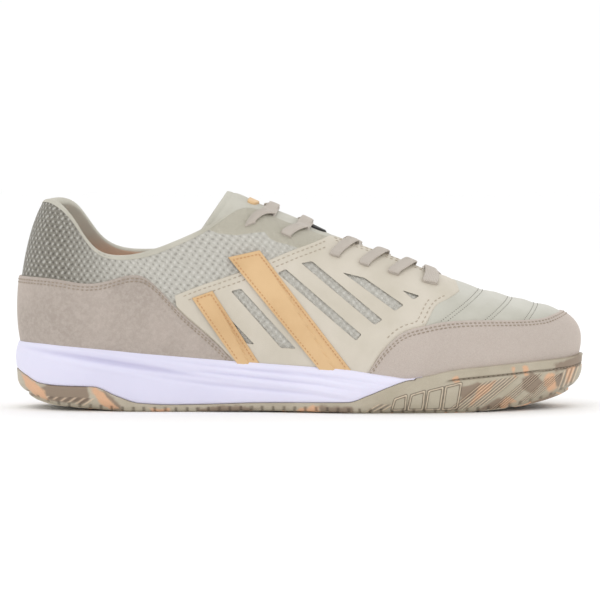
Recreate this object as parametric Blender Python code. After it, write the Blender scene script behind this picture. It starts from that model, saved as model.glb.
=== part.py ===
"""Indoor soccer shoe for the right foot, empty and standing on its sole.

The toe points along +X, the outer side of the foot is -Y and +Z is up. The
origin is on the floor, under the middle of the shoe. Lengths are in metres.
Every curved piece follows one of two forms: the outline of the sole, which
the sole pieces are stacked on, and the upper, a fan of curved sections that
leave the rim of the sole and end on the edge of the collar and throat.
"""

import math

import bmesh
import bpy
import numpy as np

# Driving sizes
LENGTH = 0.288
BALL_WIDTH = 0.100
COLLAR_HEIGHT = 0.1055
SOLE_HEIGHT = 0.034

# Walls and layers
GAP = 0.0003
RIM_WALL = 0.0028
CUP_WALL = 0.0016
TREAD = 0.0024
UPPER_WALL = 0.0018
COLLAR_PADDING = 0.0046
INSOLE_THICKNESS = 0.0040
SUEDE_THICKNESS = 0.0012
QUARTER_THICKNESS = 0.0009
SADDLE_THICKNESS = 0.0012
TONGUE_THICKNESS = 0.0030
TONGUE_CLEARANCE = 0.0009
LACE_WIDTH = 0.0056
LACE_THICKNESS = 0.0011
KEEPER_THICKNESS = 0.0005

# Edges and grooves of the sole
EDGE_ROUND = 0.0070
EDGE_ROUND_SHARE = 0.5
EDGE_ROUND_LEAST = 0.0022
# Shares of the wall's height and of the edge's draw-in, from the floor up
EDGE_ROUNDING = ((0.0, 1.0), (0.13, 0.56), (0.32, 0.22), (0.55, 0.05))
FOXING_BAND = 0.0043
FOXING_GROOVE = 0.0007
FOXING_START = 0.755
COVER_START = 0.700
MIDSOLE_BULGE = 0.0004
MIDSOLE_GROOVE = 0.0008
MIDSOLE_LIP = 0.0010
FLEX_GROOVE_WIDTH = 0.0024
FLEX_GROOVE_DEPTH = 0.0012
RIB_STANDOUT = 0.0007
RIB_ROOT = 0.0008
# Ribs on the outsole's wall: x of the first and last foot, how many, how far
# each leans to the toe, its low and high ends as shares of the wall, its width
RIB_COLUMNS = ("group", "first", "last", "count", "lean", "low", "high", "width")
RIB_GROUPS = (
    ("frame", 0.660, 0.752, 4, 0.020, 0.12, 0.62, 0.0075),
    ("toe", 0.772, 0.850, 6, 0.036, 0.10, 0.66, 0.0055),
    ("tip", 0.902, 0.930, 3, 0.020, 0.16, 0.62, 0.0050),
)

# Fineness of the facets
SIDE_STATIONS = 28
RAY_STEPS = 8

# Each row is one section of the upper. foot is where it leaves the outline of
# the sole and top is where it ends on the collar or throat. x is a share of
# LENGTH from the heel, y of BALL_WIDTH and z of COLLAR_HEIGHT. rise and drop
# are shares of the section's height, bulge of BALL_WIDTH and reach of its span.
SECTION_COLUMNS = ("foot_x", "foot_y", "top_x", "top_y", "top_z", "rise", "bulge", "reach", "drop")
SECTIONS = (
    ("heel", 0.000, 0.000, 0.048, 0.000, 0.995, 0.34, 0.048, 0.76, 0.17),
    ("heel corner, outer", 0.028, -0.190, 0.062, -0.115, 1.000, 0.34, 0.044, 0.76, 0.16),
    ("heel side, outer", 0.095, -0.310, 0.106, -0.215, 0.900, 0.38, 0.040, 0.80, 0.20),
    ("collar back, outer", 0.145, -0.333, 0.140, -0.260, 0.775, 0.42, 0.034, 0.80, 0.25),
    ("collar low, outer", 0.200, -0.345, 0.186, -0.280, 0.733, 0.42, 0.034, 0.80, 0.25),
    ("collar front, outer", 0.320, -0.350, 0.286, -0.280, 0.803, 0.42, 0.028, 0.60, 0.25),
    ("collar to throat, outer", 0.385, -0.366, 0.347, -0.240, 0.888, 0.43, 0.024, 0.64, 0.16),
    ("throat crest, outer", 0.447, -0.390, 0.404, -0.175, 0.967, 0.45, 0.020, 0.68, 0.10),
    ("throat back, outer", 0.505, -0.422, 0.462, -0.158, 0.915, 0.45, 0.018, 0.67, 0.10),
    ("throat middle, outer", 0.565, -0.456, 0.533, -0.155, 0.843, 0.45, 0.015, 0.66, 0.11),
    ("ball, outer", 0.660, -0.487, 0.639, -0.145, 0.749, 0.45, 0.012, 0.68, 0.14),
    ("throat front, outer", 0.770, -0.462, 0.712, -0.125, 0.670, 0.50, 0.014, 0.70, 0.20),
    ("toe side, outer", 0.870, -0.365, 0.743, -0.085, 0.638, 0.58, 0.028, 0.70, 0.33),
    ("toe corner, outer", 0.950, -0.205, 0.755, -0.040, 0.626, 0.66, 0.056, 0.70, 0.39),
    ("toe", 1.000, 0.045, 0.759, 0.005, 0.622, 0.66, 0.070, 0.70, 0.41),
    ("toe corner, inner", 0.965, 0.270, 0.753, 0.050, 0.622, 0.66, 0.056, 0.70, 0.39),
    ("toe side, inner", 0.900, 0.400, 0.740, 0.090, 0.629, 0.60, 0.030, 0.70, 0.33),
    ("throat front, inner", 0.810, 0.478, 0.705, 0.125, 0.659, 0.53, 0.014, 0.70, 0.22),
    ("ball, inner", 0.710, 0.497, 0.646, 0.145, 0.728, 0.47, 0.012, 0.68, 0.15),
    ("throat middle, inner", 0.600, 0.425, 0.559, 0.155, 0.814, 0.47, 0.010, 0.66, 0.10),
    ("throat back, inner", 0.530, 0.365, 0.493, 0.160, 0.888, 0.48, 0.009, 0.68, 0.10),
    ("throat crest, inner", 0.455, 0.320, 0.415, 0.175, 0.965, 0.50, 0.008, 0.70, 0.10),
    ("collar to throat, inner", 0.380, 0.302, 0.350, 0.245, 0.872, 0.49, 0.013, 0.64, 0.16),
    ("collar front, inner", 0.310, 0.304, 0.290, 0.285, 0.776, 0.46, 0.020, 0.60, 0.22),
    ("collar low, inner", 0.210, 0.325, 0.216, 0.290, 0.738, 0.44, 0.028, 0.75, 0.25),
    ("collar back, inner", 0.145, 0.318, 0.150, 0.267, 0.795, 0.44, 0.034, 0.80, 0.25),
    ("heel side, inner", 0.090, 0.290, 0.108, 0.215, 0.945, 0.38, 0.040, 0.80, 0.20),
    ("heel corner, inner", 0.028, 0.180, 0.064, 0.115, 1.003, 0.34, 0.044, 0.76, 0.16),
)

# Heights of the sole along its length, as shares of SOLE_HEIGHT: the floor
# side, the top of the outsole's wall, the rim around the upper, and the bed
# that the upper and insole stand on. A floor below 0 is cut off flat.
SOLE_COLUMNS = ("x", "floor", "wall", "rim", "bed")
SOLE = (
    (0.000, 0.235, 0.590, 1.000, 0.632),
    (0.017, 0.212, 0.509, 0.997, 0.626),
    (0.042, 0.135, 0.403, 0.991, 0.618),
    (0.076, 0.071, 0.374, 0.971, 0.603),
    (0.139, 0.032, 0.365, 0.929, 0.579),
    (0.181, 0.009, 0.226, 0.897, 0.559),
    (0.219, -0.006, 0.126, 0.865, 0.541),
    (0.274, -0.009, 0.103, 0.826, 0.518),
    (0.333, 0.003, 0.112, 0.785, 0.485),
    (0.431, 0.024, 0.141, 0.726, 0.426),
    (0.528, 0.021, 0.153, 0.676, 0.362),
    (0.583, 0.009, 0.162, 0.641, 0.326),
    (0.618, 0.000, 0.265, 0.597, 0.306),
    (0.656, -0.006, 0.400, 0.553, 0.288),
    (0.684, -0.009, 0.487, 0.522, 0.279),
    (0.715, -0.009, 0.548, 0.548, 0.276),
    (0.771, -0.003, 0.642, 0.642, 0.285),
    (0.826, 0.022, 0.685, 0.685, 0.318),
    (0.882, 0.066, 0.719, 0.719, 0.376),
    (0.924, 0.126, 0.741, 0.741, 0.435),
    (0.958, 0.200, 0.757, 0.757, 0.500),
    (0.979, 0.262, 0.772, 0.772, 0.541),
    (1.000, 0.290, 0.806, 0.806, 0.576),
)

# Edges of the overlays as they look from the side: x as a share of LENGTH
# from the heel and z as a share of COLLAR_HEIGHT.
COUNTER_EDGE = (
    (-0.030, 0.637), (0.060, 0.632), (0.112, 0.612), (0.152, 0.613), (0.189, 0.640),
    (0.210, 0.649), (0.228, 0.640), (0.251, 0.592), (0.274, 0.526), (0.302, 0.450),
    (0.338, 0.367), (0.383, 0.245), (0.405, 0.150),
)
TOE_EDGE = (
    (0.610, 0.150), (0.635, 0.263), (0.656, 0.333), (0.680, 0.384), (0.710, 0.409),
    (0.746, 0.428), (0.790, 0.435), (0.843, 0.432), (0.898, 0.430), (0.934, 0.440),
    (0.970, 0.462), (1.030, 0.475),
)
QUARTER_EDGE = (
    (0.280, 0.550), (0.389, 0.659), (0.458, 0.735), (0.492, 0.772), (0.525, 0.803),
    (0.563, 0.845), (0.600, 0.900), (0.760, 0.760), (0.778, 0.565), (0.775, 0.558),
    (0.732, 0.490), (0.708, 0.427), (0.680, 0.402), (0.656, 0.353), (0.635, 0.282),
    (0.608, 0.150), (0.560, 0.100), (0.415, 0.120), (0.386, 0.258), (0.341, 0.378),
    (0.305, 0.462),
)
# Mesh windows of the quarter, four corners each
WINDOWS = (
    ((0.357, 0.462), (0.365, 0.480), (0.421, 0.323), (0.389, 0.334)),
    ((0.380, 0.575), (0.397, 0.588), (0.493, 0.305), (0.467, 0.307)),
    ((0.453, 0.512), (0.472, 0.545), (0.553, 0.318), (0.533, 0.318)),
    ((0.461, 0.661), (0.475, 0.681), (0.607, 0.374), (0.597, 0.345)),
    ((0.502, 0.708), (0.521, 0.717), (0.643, 0.444), (0.629, 0.420)),
    ((0.574, 0.664), (0.612, 0.639), (0.680, 0.512), (0.665, 0.484)),
    ((0.678, 0.580), (0.708, 0.554), (0.697, 0.536)),
)
# Plain saddle straps over the quarter, four corners each
SADDLE_STRAPS = (
    ("back", ((0.312, 0.540), (0.348, 0.575), (0.438, 0.200), (0.400, 0.200))),
    ("front", ((0.375, 0.732), (0.430, 0.765), (0.605, 0.150), (0.553, 0.150))),
)

# Lace holes: x of the throat's edge above each, and how much nearer to the toe
# its lace meets that edge, as shares of LENGTH. Then how far below it they lie
EYELET_COLUMNS = ("x", "lean", "setback")
EYELETS = (
    (0.399, 0.045, 0.0105), (0.458, 0.045, 0.0135), (0.546, 0.045, 0.0165),
    (0.601, 0.043, 0.0165), (0.652, 0.040, 0.0165), (0.704, 0.020, 0.0165),
)
EYELET_WIDTH = 0.0050
EYELET_HEIGHT = 0.0024
KNIT_EYELET_COUNT = 2
# Where a lace crosses the tongue, as shares across it, and its clearance
LACE_TONGUE_SPAN = (0.33, 0.65)
# How much further than at the edge a lace starts and ends on the tongue
LACE_ON_TONGUE = (0.002, 0.006)
LACE_CLEARANCE = 0.0015
LACE_TO_WALL = 0.0007
PATCH_CLEARANCE = 0.0006
# Patches on the tongue: sections along it and shares across it
# Share of LENGTH over which the tongue's raked rear edge turns into level rows
RAKED = (0.320, 0.440)
BADGE_SIDES = (0.392, 0.416)
BADGE_SPAN = (0.36, 0.64)
BADGE_THICKNESS = 0.0006
KEEPER_SIDES = (0.500, 0.540)
KEEPER_SPAN = (0.42, 0.58)
# Crown of the tongue: section on the collar or throat, x and z of the crown
TONGUE_COLUMNS = ("side", "x", "z")
TONGUE = (
    (0.320, 0.369, 1.046),
    (0.362, 0.394, 1.024),
    (0.410, 0.424, 0.985),
    (0.450, 0.457, 0.950),
    (0.500, 0.507, 0.892),
    (0.560, 0.566, 0.815),
    (0.620, 0.625, 0.745),
    (0.680, 0.682, 0.675),
    (0.710, 0.712, 0.640),
    (0.740, 0.744, 0.602),
)

# Colours from the photo, linear, with roughness
COLOURS = {
    "mesh": ((0.50, 0.48, 0.41), 0.75),
    "suede": ((0.47, 0.39, 0.34), 0.95),
    "quarter": ((0.63, 0.58, 0.47), 0.60),
    "saddle": ((0.80, 0.52, 0.28), 0.50),
    "midsole": ((0.78, 0.76, 0.90), 0.55),
    "outsole": ((0.42, 0.37, 0.28), 0.60),
    "insole": ((0.75, 0.42, 0.22), 0.85),
    "keeper": ((0.10, 0.09, 0.09), 0.60),
    "tongue": ((0.56, 0.55, 0.47), 0.60),
    "lace": ((0.57, 0.50, 0.43), 0.85),
}


def curve_through(knots, values, at, period=None):
    """Smooth curve through the rows, with an even bend at each of them."""
    knots = np.asarray(knots, float)
    values = np.asarray(values, float)
    if period is not None:
        knots = np.append(knots, knots[0] + period)
        values = np.append(values, values[:1], axis=0)
    step = np.diff(knots)
    slope = np.diff(values, axis=0) / step[:, None]
    count = len(knots)
    system = np.zeros((count, count))
    right = np.zeros_like(values)
    for i in range(1, count - 1):
        system[i, i - 1 : i + 2] = step[i], 2 * (step[i - 1] + step[i]), step[i - 1]
        right[i] = 3 * (step[i] * slope[i - 1] + step[i - 1] * slope[i])
    if period is None:
        system[0, :2] = 2, 1
        right[0] = 3 * slope[0]
        system[-1, -2:] = 1, 2
        right[-1] = 3 * slope[-1]
    else:
        system[0, [0, 1, -2]] = 2 * (step[-1] + step[0]), step[-1], step[0]
        right[0] = 3 * (step[0] * slope[-1] + step[-1] * slope[0])
        system[-1, 0] = 1
        system[-1, -1] = -1
    tangent = np.linalg.solve(system, right)
    at = np.asarray(at, float)
    if period is not None:
        at = knots[0] + np.mod(at - knots[0], period)
    i = np.clip(np.searchsorted(knots, at, side="right") - 1, 0, count - 2)
    h = step[i][:, None]
    t = ((at - knots[i]) / step[i])[:, None]
    return (
        values[i] * (2 * t**3 - 3 * t**2 + 1)
        + values[i + 1] * (3 * t**2 - 2 * t**3)
        + h * tangent[i] * (t**3 - 2 * t**2 + t)
        + h * tangent[i + 1] * (t**3 - t**2)
    )


def profile_through(knots, values, at):
    """Curve through the rows that never swings past them."""
    knots = np.asarray(knots, float)
    values = np.asarray(values, float)
    step = np.diff(knots)
    slope = np.diff(values) / step
    tangent = np.zeros(len(knots))
    same = slope[:-1] * slope[1:] > 0
    mean = 2 * slope[:-1] * slope[1:] / np.where(same, slope[:-1] + slope[1:], 1)
    tangent[1:-1] = np.where(same, mean, 0)
    tangent[0], tangent[-1] = slope[0], slope[-1]
    at = np.clip(at, knots[0], knots[-1])
    i = np.clip(np.searchsorted(knots, at, side="right") - 1, 0, len(knots) - 2)
    t = (at - knots[i]) / step[i]
    return (
        values[i] * (2 * t**3 - 3 * t**2 + 1)
        + values[i + 1] * (3 * t**2 - 2 * t**3)
        + step[i] * tangent[i] * (t**3 - 2 * t**2 + t)
        + step[i] * tangent[i + 1] * (t**3 - t**2)
    )


def share_of_length(x):
    return x / LENGTH + 0.5


def sole_height(column, x):
    """Height of a line of the sole at the places x."""
    table = np.array(SOLE)
    values = profile_through(table[:, 0], table[:, SOLE_COLUMNS.index(column)], share_of_length(x))
    return SOLE_HEIGHT * (np.maximum(values, 0) if column == "floor" else values)


SECTION_ROWS = np.array([row[1:] for row in SECTIONS])
FOOT_POINTS = (SECTION_ROWS[:, :2] - (0.5, 0)) * (LENGTH, BALL_WIDTH)
STEPS_ROUND = np.linalg.norm(np.roll(FOOT_POINTS, -1, axis=0) - FOOT_POINTS, axis=1)
ROUND = STEPS_ROUND.sum()
PLACES = np.concatenate([[0], np.cumsum(STEPS_ROUND)[:-1]]) / ROUND
TOE_PLACE = PLACES[[row[0] for row in SECTIONS].index("toe")]
UP = np.array((0.0, 0.0, 1.0))


def outline(place):
    """Points and outward directions of the sole's outline, seen from above."""
    points = curve_through(PLACES, FOOT_POINTS, place, 1.0)
    small = 1e-4
    ahead = curve_through(PLACES, FOOT_POINTS, np.asarray(place) + small, 1.0)
    behind = curve_through(PLACES, FOOT_POINTS, np.asarray(place) - small, 1.0)
    along = ahead - behind
    along /= np.linalg.norm(along, axis=1)[:, None]
    # The places run from the heel along the outer side, so outward is to the right.
    return points, np.stack([along[:, 1], -along[:, 0]], axis=1)


def side_places(count=SIDE_STATIONS):
    """Places round the outline, paired side to side, closer at heel and toe."""
    k = np.arange(count + 1) / count
    share = 0.6 * k + 0.4 * (1 - np.cos(math.pi * k)) / 2
    outer = share * TOE_PLACE
    inner = 1 - share[1:-1][::-1] * (1 - TOE_PLACE)
    return np.concatenate([outer, inner])


def ring(place, offset, height):
    """A loop round the sole, offset outwards. height is a number or takes x."""
    points, outward = outline(place)
    offset = np.broadcast_to(offset, (len(points),))
    flat = points + outward * offset[:, None]
    z = height(flat[:, 0]) if callable(height) else np.broadcast_to(height, (len(flat),))
    return np.column_stack([flat, z])


def section_controls(place):
    """The four control points of each section's curve."""
    values = curve_through(PLACES, SECTION_ROWS, place, 1.0)
    column = {name: values[:, i] for i, name in enumerate(SECTION_COLUMNS)}
    points, outward = outline(place)
    foot_flat = points - outward * (RIM_WALL + GAP)
    foot = np.column_stack([foot_flat, sole_height("rim", points[:, 0])])
    top = np.column_stack([
        (column["top_x"] - 0.5) * LENGTH,
        column["top_y"] * BALL_WIDTH,
        column["top_z"] * COLLAR_HEIGHT,
    ])
    height = (top - foot)[:, 2]
    low = foot + np.outer(column["rise"] * height, UP)
    low[:, :2] += outward * (column["bulge"] * BALL_WIDTH)[:, None]
    high = top - np.outer(column["drop"] * height, UP)
    high[:, :2] += (foot - top)[:, :2] * column["reach"][:, None]
    return foot, low, high, top


def upper_points(place, t):
    """Outer face of the upper: one row of points for each place."""
    a, b, c, d = (p[:, None, :] for p in section_controls(np.atleast_1d(place)))
    t = np.atleast_1d(t)
    t = (t if t.ndim == 2 else np.broadcast_to(t, (a.shape[0], len(t))))[:, :, None]
    return a * (1 - t) ** 3 + 3 * b * t * (1 - t) ** 2 + 3 * c * t**2 * (1 - t) + d * t**3


def upper_normals(place, t):
    small = 1e-4
    place = np.atleast_1d(place)
    t = np.atleast_1d(t)
    t = t if t.ndim == 2 else np.broadcast_to(t, (len(place), len(t)))
    round_ = upper_points(place + small, t) - upper_points(place - small, t)
    up = upper_points(place, np.minimum(t + small, 1)) - upper_points(place, np.maximum(t - small, 0))
    normal = np.cross(round_, up)
    return normal / np.linalg.norm(normal, axis=2)[:, :, None]


def upper_shell(place, t, out):
    """The outer face moved outwards by out, or inwards where out is negative."""
    normal = upper_normals(place, t)
    out = np.broadcast_to(out, normal.shape[:2])
    return upper_points(place, t) + normal * out[:, :, None]


def wall_at(place, t):
    """Thickness of the upper's wall, padded round the collar."""
    top = section_controls(place)[3]
    share = share_of_length(top[:, 0])
    collar = np.clip((0.40 - share) / 0.08, 0, 1)[:, None]
    near_top = np.clip((np.asarray(t)[None, :] - 0.45) / 0.4, 0, 1)
    swell = (3 * near_top**2 - 2 * near_top**3) * (3 * collar**2 - 2 * collar**3)
    return UPPER_WALL + COLLAR_PADDING * swell


def material(name):
    found = bpy.data.materials.get(name)
    if found:
        return found
    colour, rough = COLOURS[name]
    made = bpy.data.materials.new(name)
    made.use_nodes = True
    shader = made.node_tree.nodes["Principled BSDF"]
    shader.inputs["Base Color"].default_value = (*colour, 1)
    shader.inputs["Roughness"].default_value = rough
    shader.inputs["Metallic"].default_value = 0
    return made


def make_object(name, points, faces, finish, helper=False):
    mesh = bpy.data.meshes.new(name)
    mesh.from_pydata([tuple(p) for p in points], [], faces)
    shape = bmesh.new()
    shape.from_mesh(mesh)
    bmesh.ops.recalc_face_normals(shape, faces=shape.faces)
    if shape.calc_volume(signed=True) < 0:
        bmesh.ops.reverse_faces(shape, faces=shape.faces)
    shape.to_mesh(mesh)
    shape.free()
    obj = bpy.data.objects.new(name, mesh)
    bpy.context.scene.collection.objects.link(obj)
    if helper:
        obj.hide_render = True
        obj.display_type = "WIRE"
        return obj
    mesh.materials.append(material(finish))
    mesh.shade_smooth()
    mesh.set_sharp_from_angle(angle=math.radians(35))
    return obj


BOX_FACES = ((3, 2, 1, 0), (4, 5, 6, 7), (0, 1, 5, 4), (1, 2, 6, 5), (2, 3, 7, 6), (3, 0, 4, 7))


def split(a, b, c, d):
    """Both halves of a four-sided facet, always cut the same way."""
    return [(a, b, c), (a, c, d)]


def ring_faces(count, first, second):
    """Facets between two rings whose points start at these numbers."""
    faces = []
    for i in range(count):
        after = (i + 1) % count
        faces += split(first + i, first + after, second + after, second + i)
    return faces


def cap_faces(count, first):
    """Strips across a ring, from each point to its partner on the other side."""
    half = count // 2
    faces = [(first, first + 1, first + count - 1)]
    for i in range(1, half - 1):
        faces.append((first + i, first + i + 1, first + count - i - 1, first + count - i))
    faces.append((first + half - 1, first + half, first + half + 1))
    return faces


def stack_rings(name, rings, finish):
    """Solid from a stack of rings with its first and last ring closed across."""
    count = len(rings[0])
    faces = cap_faces(count, 0)
    for k in range(len(rings) - 1):
        faces += ring_faces(count, k * count, (k + 1) * count)
    faces += cap_faces(count, (len(rings) - 1) * count)
    return make_object(name, np.concatenate(rings), faces, finish)


def slab(name, face_out, face_in, finish, helper=False):
    """Solid between two matching grids of points."""
    rows, columns = face_out.shape[:2]
    points = np.concatenate([face_out.reshape(-1, 3), face_in.reshape(-1, 3)])
    under = rows * columns

    def at(i, j):
        return i * columns + j

    faces = []
    for i in range(rows - 1):
        for j in range(columns - 1):
            for half in split(at(i, j), at(i + 1, j), at(i + 1, j + 1), at(i, j + 1)):
                faces.append(half)
                faces.append(tuple(under + k for k in reversed(half)))
    edge = [at(i, 0) for i in range(rows)]
    edge += [at(rows - 1, j) for j in range(1, columns)]
    edge += [at(i, columns - 1) for i in range(rows - 2, -1, -1)]
    edge += [at(0, j) for j in range(columns - 2, 0, -1)]
    for a, b in zip(edge, edge[1:] + edge[:1]):
        faces.append((b, a, under + a, under + b))
    return make_object(name, points, faces, finish, helper)


def boolean(obj, other, operation):
    modifier = obj.modifiers.new(operation.lower() + " " + other.name, "BOOLEAN")
    modifier.operation = operation
    modifier.object = other
    modifier.solver = "EXACT"


def is_covered(x):
    """Where the outsole's wall hides the midsole."""
    return share_of_length(x) > COVER_START


def wall_top(x):
    """Top of the outsole's wall, which takes over the rim at the forefoot."""
    wall, rim = sole_height("wall", x), sole_height("rim", x)
    return np.where(is_covered(x), rim, np.minimum(wall, rim - 3 * GAP))


def cup_wall(place):
    """Thickness of the outsole's wall: the full rim where it is the rim."""
    return np.where(is_covered(outline(place)[0][:, 0]), RIM_WALL, CUP_WALL)


def edge_inset(place):
    """How far the rounded lower edge of the outsole draws in."""
    points, _ = outline(place)
    wall = wall_top(points[:, 0]) - sole_height("floor", points[:, 0])
    return np.clip(EDGE_ROUND_SHARE * wall, EDGE_ROUND_LEAST, EDGE_ROUND)


def cup_rings(place, away):
    """The inside of the outsole's cup, from its shoulder down, moved away
    from the wall. It keeps clear of the rounded lower edge."""
    x = outline(place)[0][:, 0]
    wall = wall_top(x) - sole_height("floor", x)
    knots, draws = zip(*EDGE_ROUNDING)
    shoulder = np.maximum(0.3, (TREAD + 0.0004) / wall)

    def offset(share):
        return -(cup_wall(place) + away + edge_inset(place) * np.interp(share, knots, draws))

    def shoulder_height(x_):
        return sole_height("floor", x_) * (1 - shoulder) + wall_top(x_) * shoulder + away

    under_bed = np.clip((sole_height("bed", x) - 0.0022 - sole_height("floor", x)) / wall, None, 0.9)
    under_bed = np.maximum(under_bed, shoulder + 0.03)

    def under_bed_height(x_):
        return sole_height("floor", x_) * (1 - under_bed) + wall_top(x_) * under_bed + away

    return [
        ring(place, -(cup_wall(place) + away), under_bed_height),
        ring(place, offset(shoulder), shoulder_height),
        ring(place, offset(TREAD / wall), lambda x_: sole_height("floor", x_) + TREAD + away),
    ]


def build_outsole():
    place = side_places()
    inset = edge_inset(place)

    def wall_share(share):
        def height(x):
            return sole_height("floor", x) * (1 - share) + wall_top(x) * share
        return height

    rings = [ring(place, -inset * draw, wall_share(share)) for share, draw in EDGE_ROUNDING]
    points, _ = outline(place)
    banded = np.clip((share_of_length(points[:, 0]) - FOXING_START) / 0.015, 0, 1)
    top = ring(place, 0, wall_top)[:, 2]
    wall = top - sole_height("floor", points[:, 0])
    band = np.minimum(FOXING_BAND, 0.3 * wall)
    groove = np.minimum(FOXING_GROOVE, 0.06 * wall)
    for below, depth in ((1.0, 0.0), (0.2, 1.0), (-0.1, 0.0)):
        rings.append(ring(place, -groove * depth * banded, top - band - below * groove))
    rings.append(ring(place, 0, top - np.minimum(0.0004, 0.1 * wall)))
    rings.append(ring(place, -0.0005, top))
    rings.append(ring(place, -cup_wall(place), top))
    rings += cup_rings(place, 0.0)
    outsole = stack_rings("outsole", rings, "outsole")
    for rib in side_ribs():
        boolean(outsole, rib, "UNION")
    for cutter in flex_groove_cutters():
        boolean(outsole, cutter, "DIFFERENCE")


def wall_point(place, share, out):
    """Point on the outsole's wall at a share of its height, moved outwards."""
    place = np.array([place])
    knots, draws = zip(*EDGE_ROUNDING)
    draw = np.interp(share, knots + (1.0,), draws + (0.0,))
    flat = ring(place, out - edge_inset(place) * draw, 0.0)[0]
    x = np.array([flat[0]])
    flat[2] = float(sole_height("floor", x)[0] * (1 - share) + wall_top(x)[0] * share)
    return flat


def side_ribs():
    """Slanted ribs that stand out of the outsole's wall, both sides."""
    ribs = []
    for sign in (-1, 1):
        for group, first, last, count, lean, low, high, width in RIB_GROUPS:
            for number, x in enumerate(np.linspace(first, last, count)):
                faces = []
                for out in (RIB_STANDOUT, -RIB_ROOT):
                    rows = []
                    for k in np.linspace(0, 1, 3):
                        middle = x + lean * k
                        share = low + (high - low) * k
                        edges = [place_at(middle + side * width / 2, sign > 0) for side in (-1, 1)]
                        rows.append([wall_point(edge, share, out) for edge in edges])
                    faces.append(np.array(rows))
                ribs.append(slab(f"rib_{group}_{number}_{sign}", *faces, None, helper=True))
    return ribs


def flex_groove_cutters():
    """Arched grooves across the tread of the heel and forefoot."""
    grooves = (0.105, 0.155, 0.205, 0.265, 0.580, 0.640, 0.700, 0.760, 0.820, 0.875)
    bow = 0.020
    half = FLEX_GROOVE_WIDTH / 2
    cutters = []
    for number, share in enumerate(grooves):
        across = np.linspace(-0.6, 0.6, 5) * BALL_WIDTH
        middle = (share - 0.5) * LENGTH + bow * (across / (0.6 * BALL_WIDTH)) ** 2 * -0.5
        floor = float(sole_height("floor", np.array([(share - 0.5) * LENGTH]))[0])
        lean = (sole_height("floor", middle + half) - sole_height("floor", middle - half)) / (2 * half)
        depth = floor + FLEX_GROOVE_DEPTH
        upper_face = np.stack([
            np.column_stack([middle + s * half * 0.6, across, np.full(5, depth) + s * half * lean])
            for s in (-1, 1)
        ])
        lower_face = np.stack([
            np.column_stack([middle + s * half * 1.4, across, np.full(5, floor - 0.004)])
            for s in (-1, 1)
        ])
        cutters.append(slab(f"groove_cutter_{number}", upper_face, lower_face, None, helper=True))
    return cutters


def build_midsole():
    place = side_places()
    points, _ = outline(place)
    hidden = is_covered(points[:, 0])
    # The last bare place, where the side folds in behind the outsole's wall.
    fold = ~hidden & (np.roll(hidden, 1) | np.roll(hidden, -1))
    inside = -(cup_wall(place) + GAP)
    rim = sole_height("rim", points[:, 0])
    low = wall_top(points[:, 0]) + GAP

    def level(share, offset, below_bed):
        """A ring up the bare side, which stays inside the cup at the front."""
        made = ring(place, np.where(hidden | fold, inside, offset), low * (1 - share) + rim * share)
        made[hidden, 2] = sole_height("bed", made[hidden, 0]) - below_bed
        return made

    rings = cup_rings(place, GAP)[::-1]
    # Shares of the bare height, with how far the side stands out there
    side = (
        (0.00, inside), (0.02, -0.0002), (0.30, MIDSOLE_BULGE), (0.52, MIDSOLE_BULGE),
        (0.62, -MIDSOLE_GROOVE), (0.72, -0.0001), (0.86, -MIDSOLE_GROOVE), (1.00, -MIDSOLE_LIP),
    )
    rings += [level(share, offset, 0.0014 - 0.0010 * share) for share, offset in side]
    rings.append(level(1.0, -RIM_WALL, 0.0002))
    rings[-1][fold, :2] = ring(place[fold], -RIM_WALL, 0.0)[:, :2]
    last = np.where(hidden, inside, -RIM_WALL - 0.0002)
    rings.append(ring(place, last, lambda x: sole_height("bed", x)))
    # From the bed outwards and down, as the outsole's inside is stacked.
    stack_rings("midsole", rings[::-1], "midsole")


def build_insole():
    place = side_places(26)
    inside = -(RIM_WALL + GAP + UPPER_WALL + 2 * GAP)

    def above_bed(rise):
        return lambda x: sole_height("bed", x) + GAP + rise

    rings = [
        ring(place, inside - 0.0012, above_bed(0.0)),
        ring(place, inside, above_bed(0.0010)),
        ring(place, inside, above_bed(INSOLE_THICKNESS)),
        ring(place, inside - 0.0060, above_bed(0.7 * INSOLE_THICKNESS)),
    ]
    stack_rings("insole", rings, "insole")


def build_upper():
    place = side_places()
    t = np.linspace(0, 1, RAY_STEPS + 1)
    wall = wall_at(place, t)
    outer = upper_points(place, t)
    inner = upper_shell(place, t, -wall)
    foot = ring(place, -(RIM_WALL + GAP), lambda x: sole_height("bed", x) + GAP)
    foot_inner = ring(place, -(RIM_WALL + GAP + UPPER_WALL), lambda x: sole_height("bed", x) + GAP)
    # The top edge rolls over from the outer to the inner face.
    top_normal = upper_normals(place, t)[:, -1]
    rise = outer[:, -1] - outer[:, -2]
    rise /= np.linalg.norm(rise, axis=1)[:, None]
    thick = wall[:, -1][:, None]
    roll = [
        outer[:, -1] - top_normal * thick * share + rise * thick * lift
        for share, lift in ((0.25, 0.28), (0.75, 0.28))
    ]
    rings = [foot] + [outer[:, j] for j in range(len(t))] + roll
    rings += [inner[:, j] for j in (RAY_STEPS, RAY_STEPS - 1, RAY_STEPS - 2, RAY_STEPS // 2, 1)]
    # Below the rim the inner face runs straight down inside the sole.
    rings += [inner[:, 0], foot_inner]
    count = len(place)
    faces = []
    for k in range(len(rings)):
        faces += ring_faces(count, k * count, ((k + 1) % len(rings)) * count)
    make_object("upper", np.concatenate(rings), faces, "mesh")


def smooth_line(line, steps=2):
    """The line with its corners rounded by a curve through its points."""
    line = np.array(line)
    knots = np.arange(len(line))
    return curve_through(knots, line, np.linspace(0, len(line) - 1, steps * (len(line) - 1) + 1))


def below_line(line):
    """Side-view outline of everything under a line."""
    return list(map(tuple, smooth_line(line))) + [(line[-1][0], -0.1), (line[0][0], -0.1)]


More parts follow.
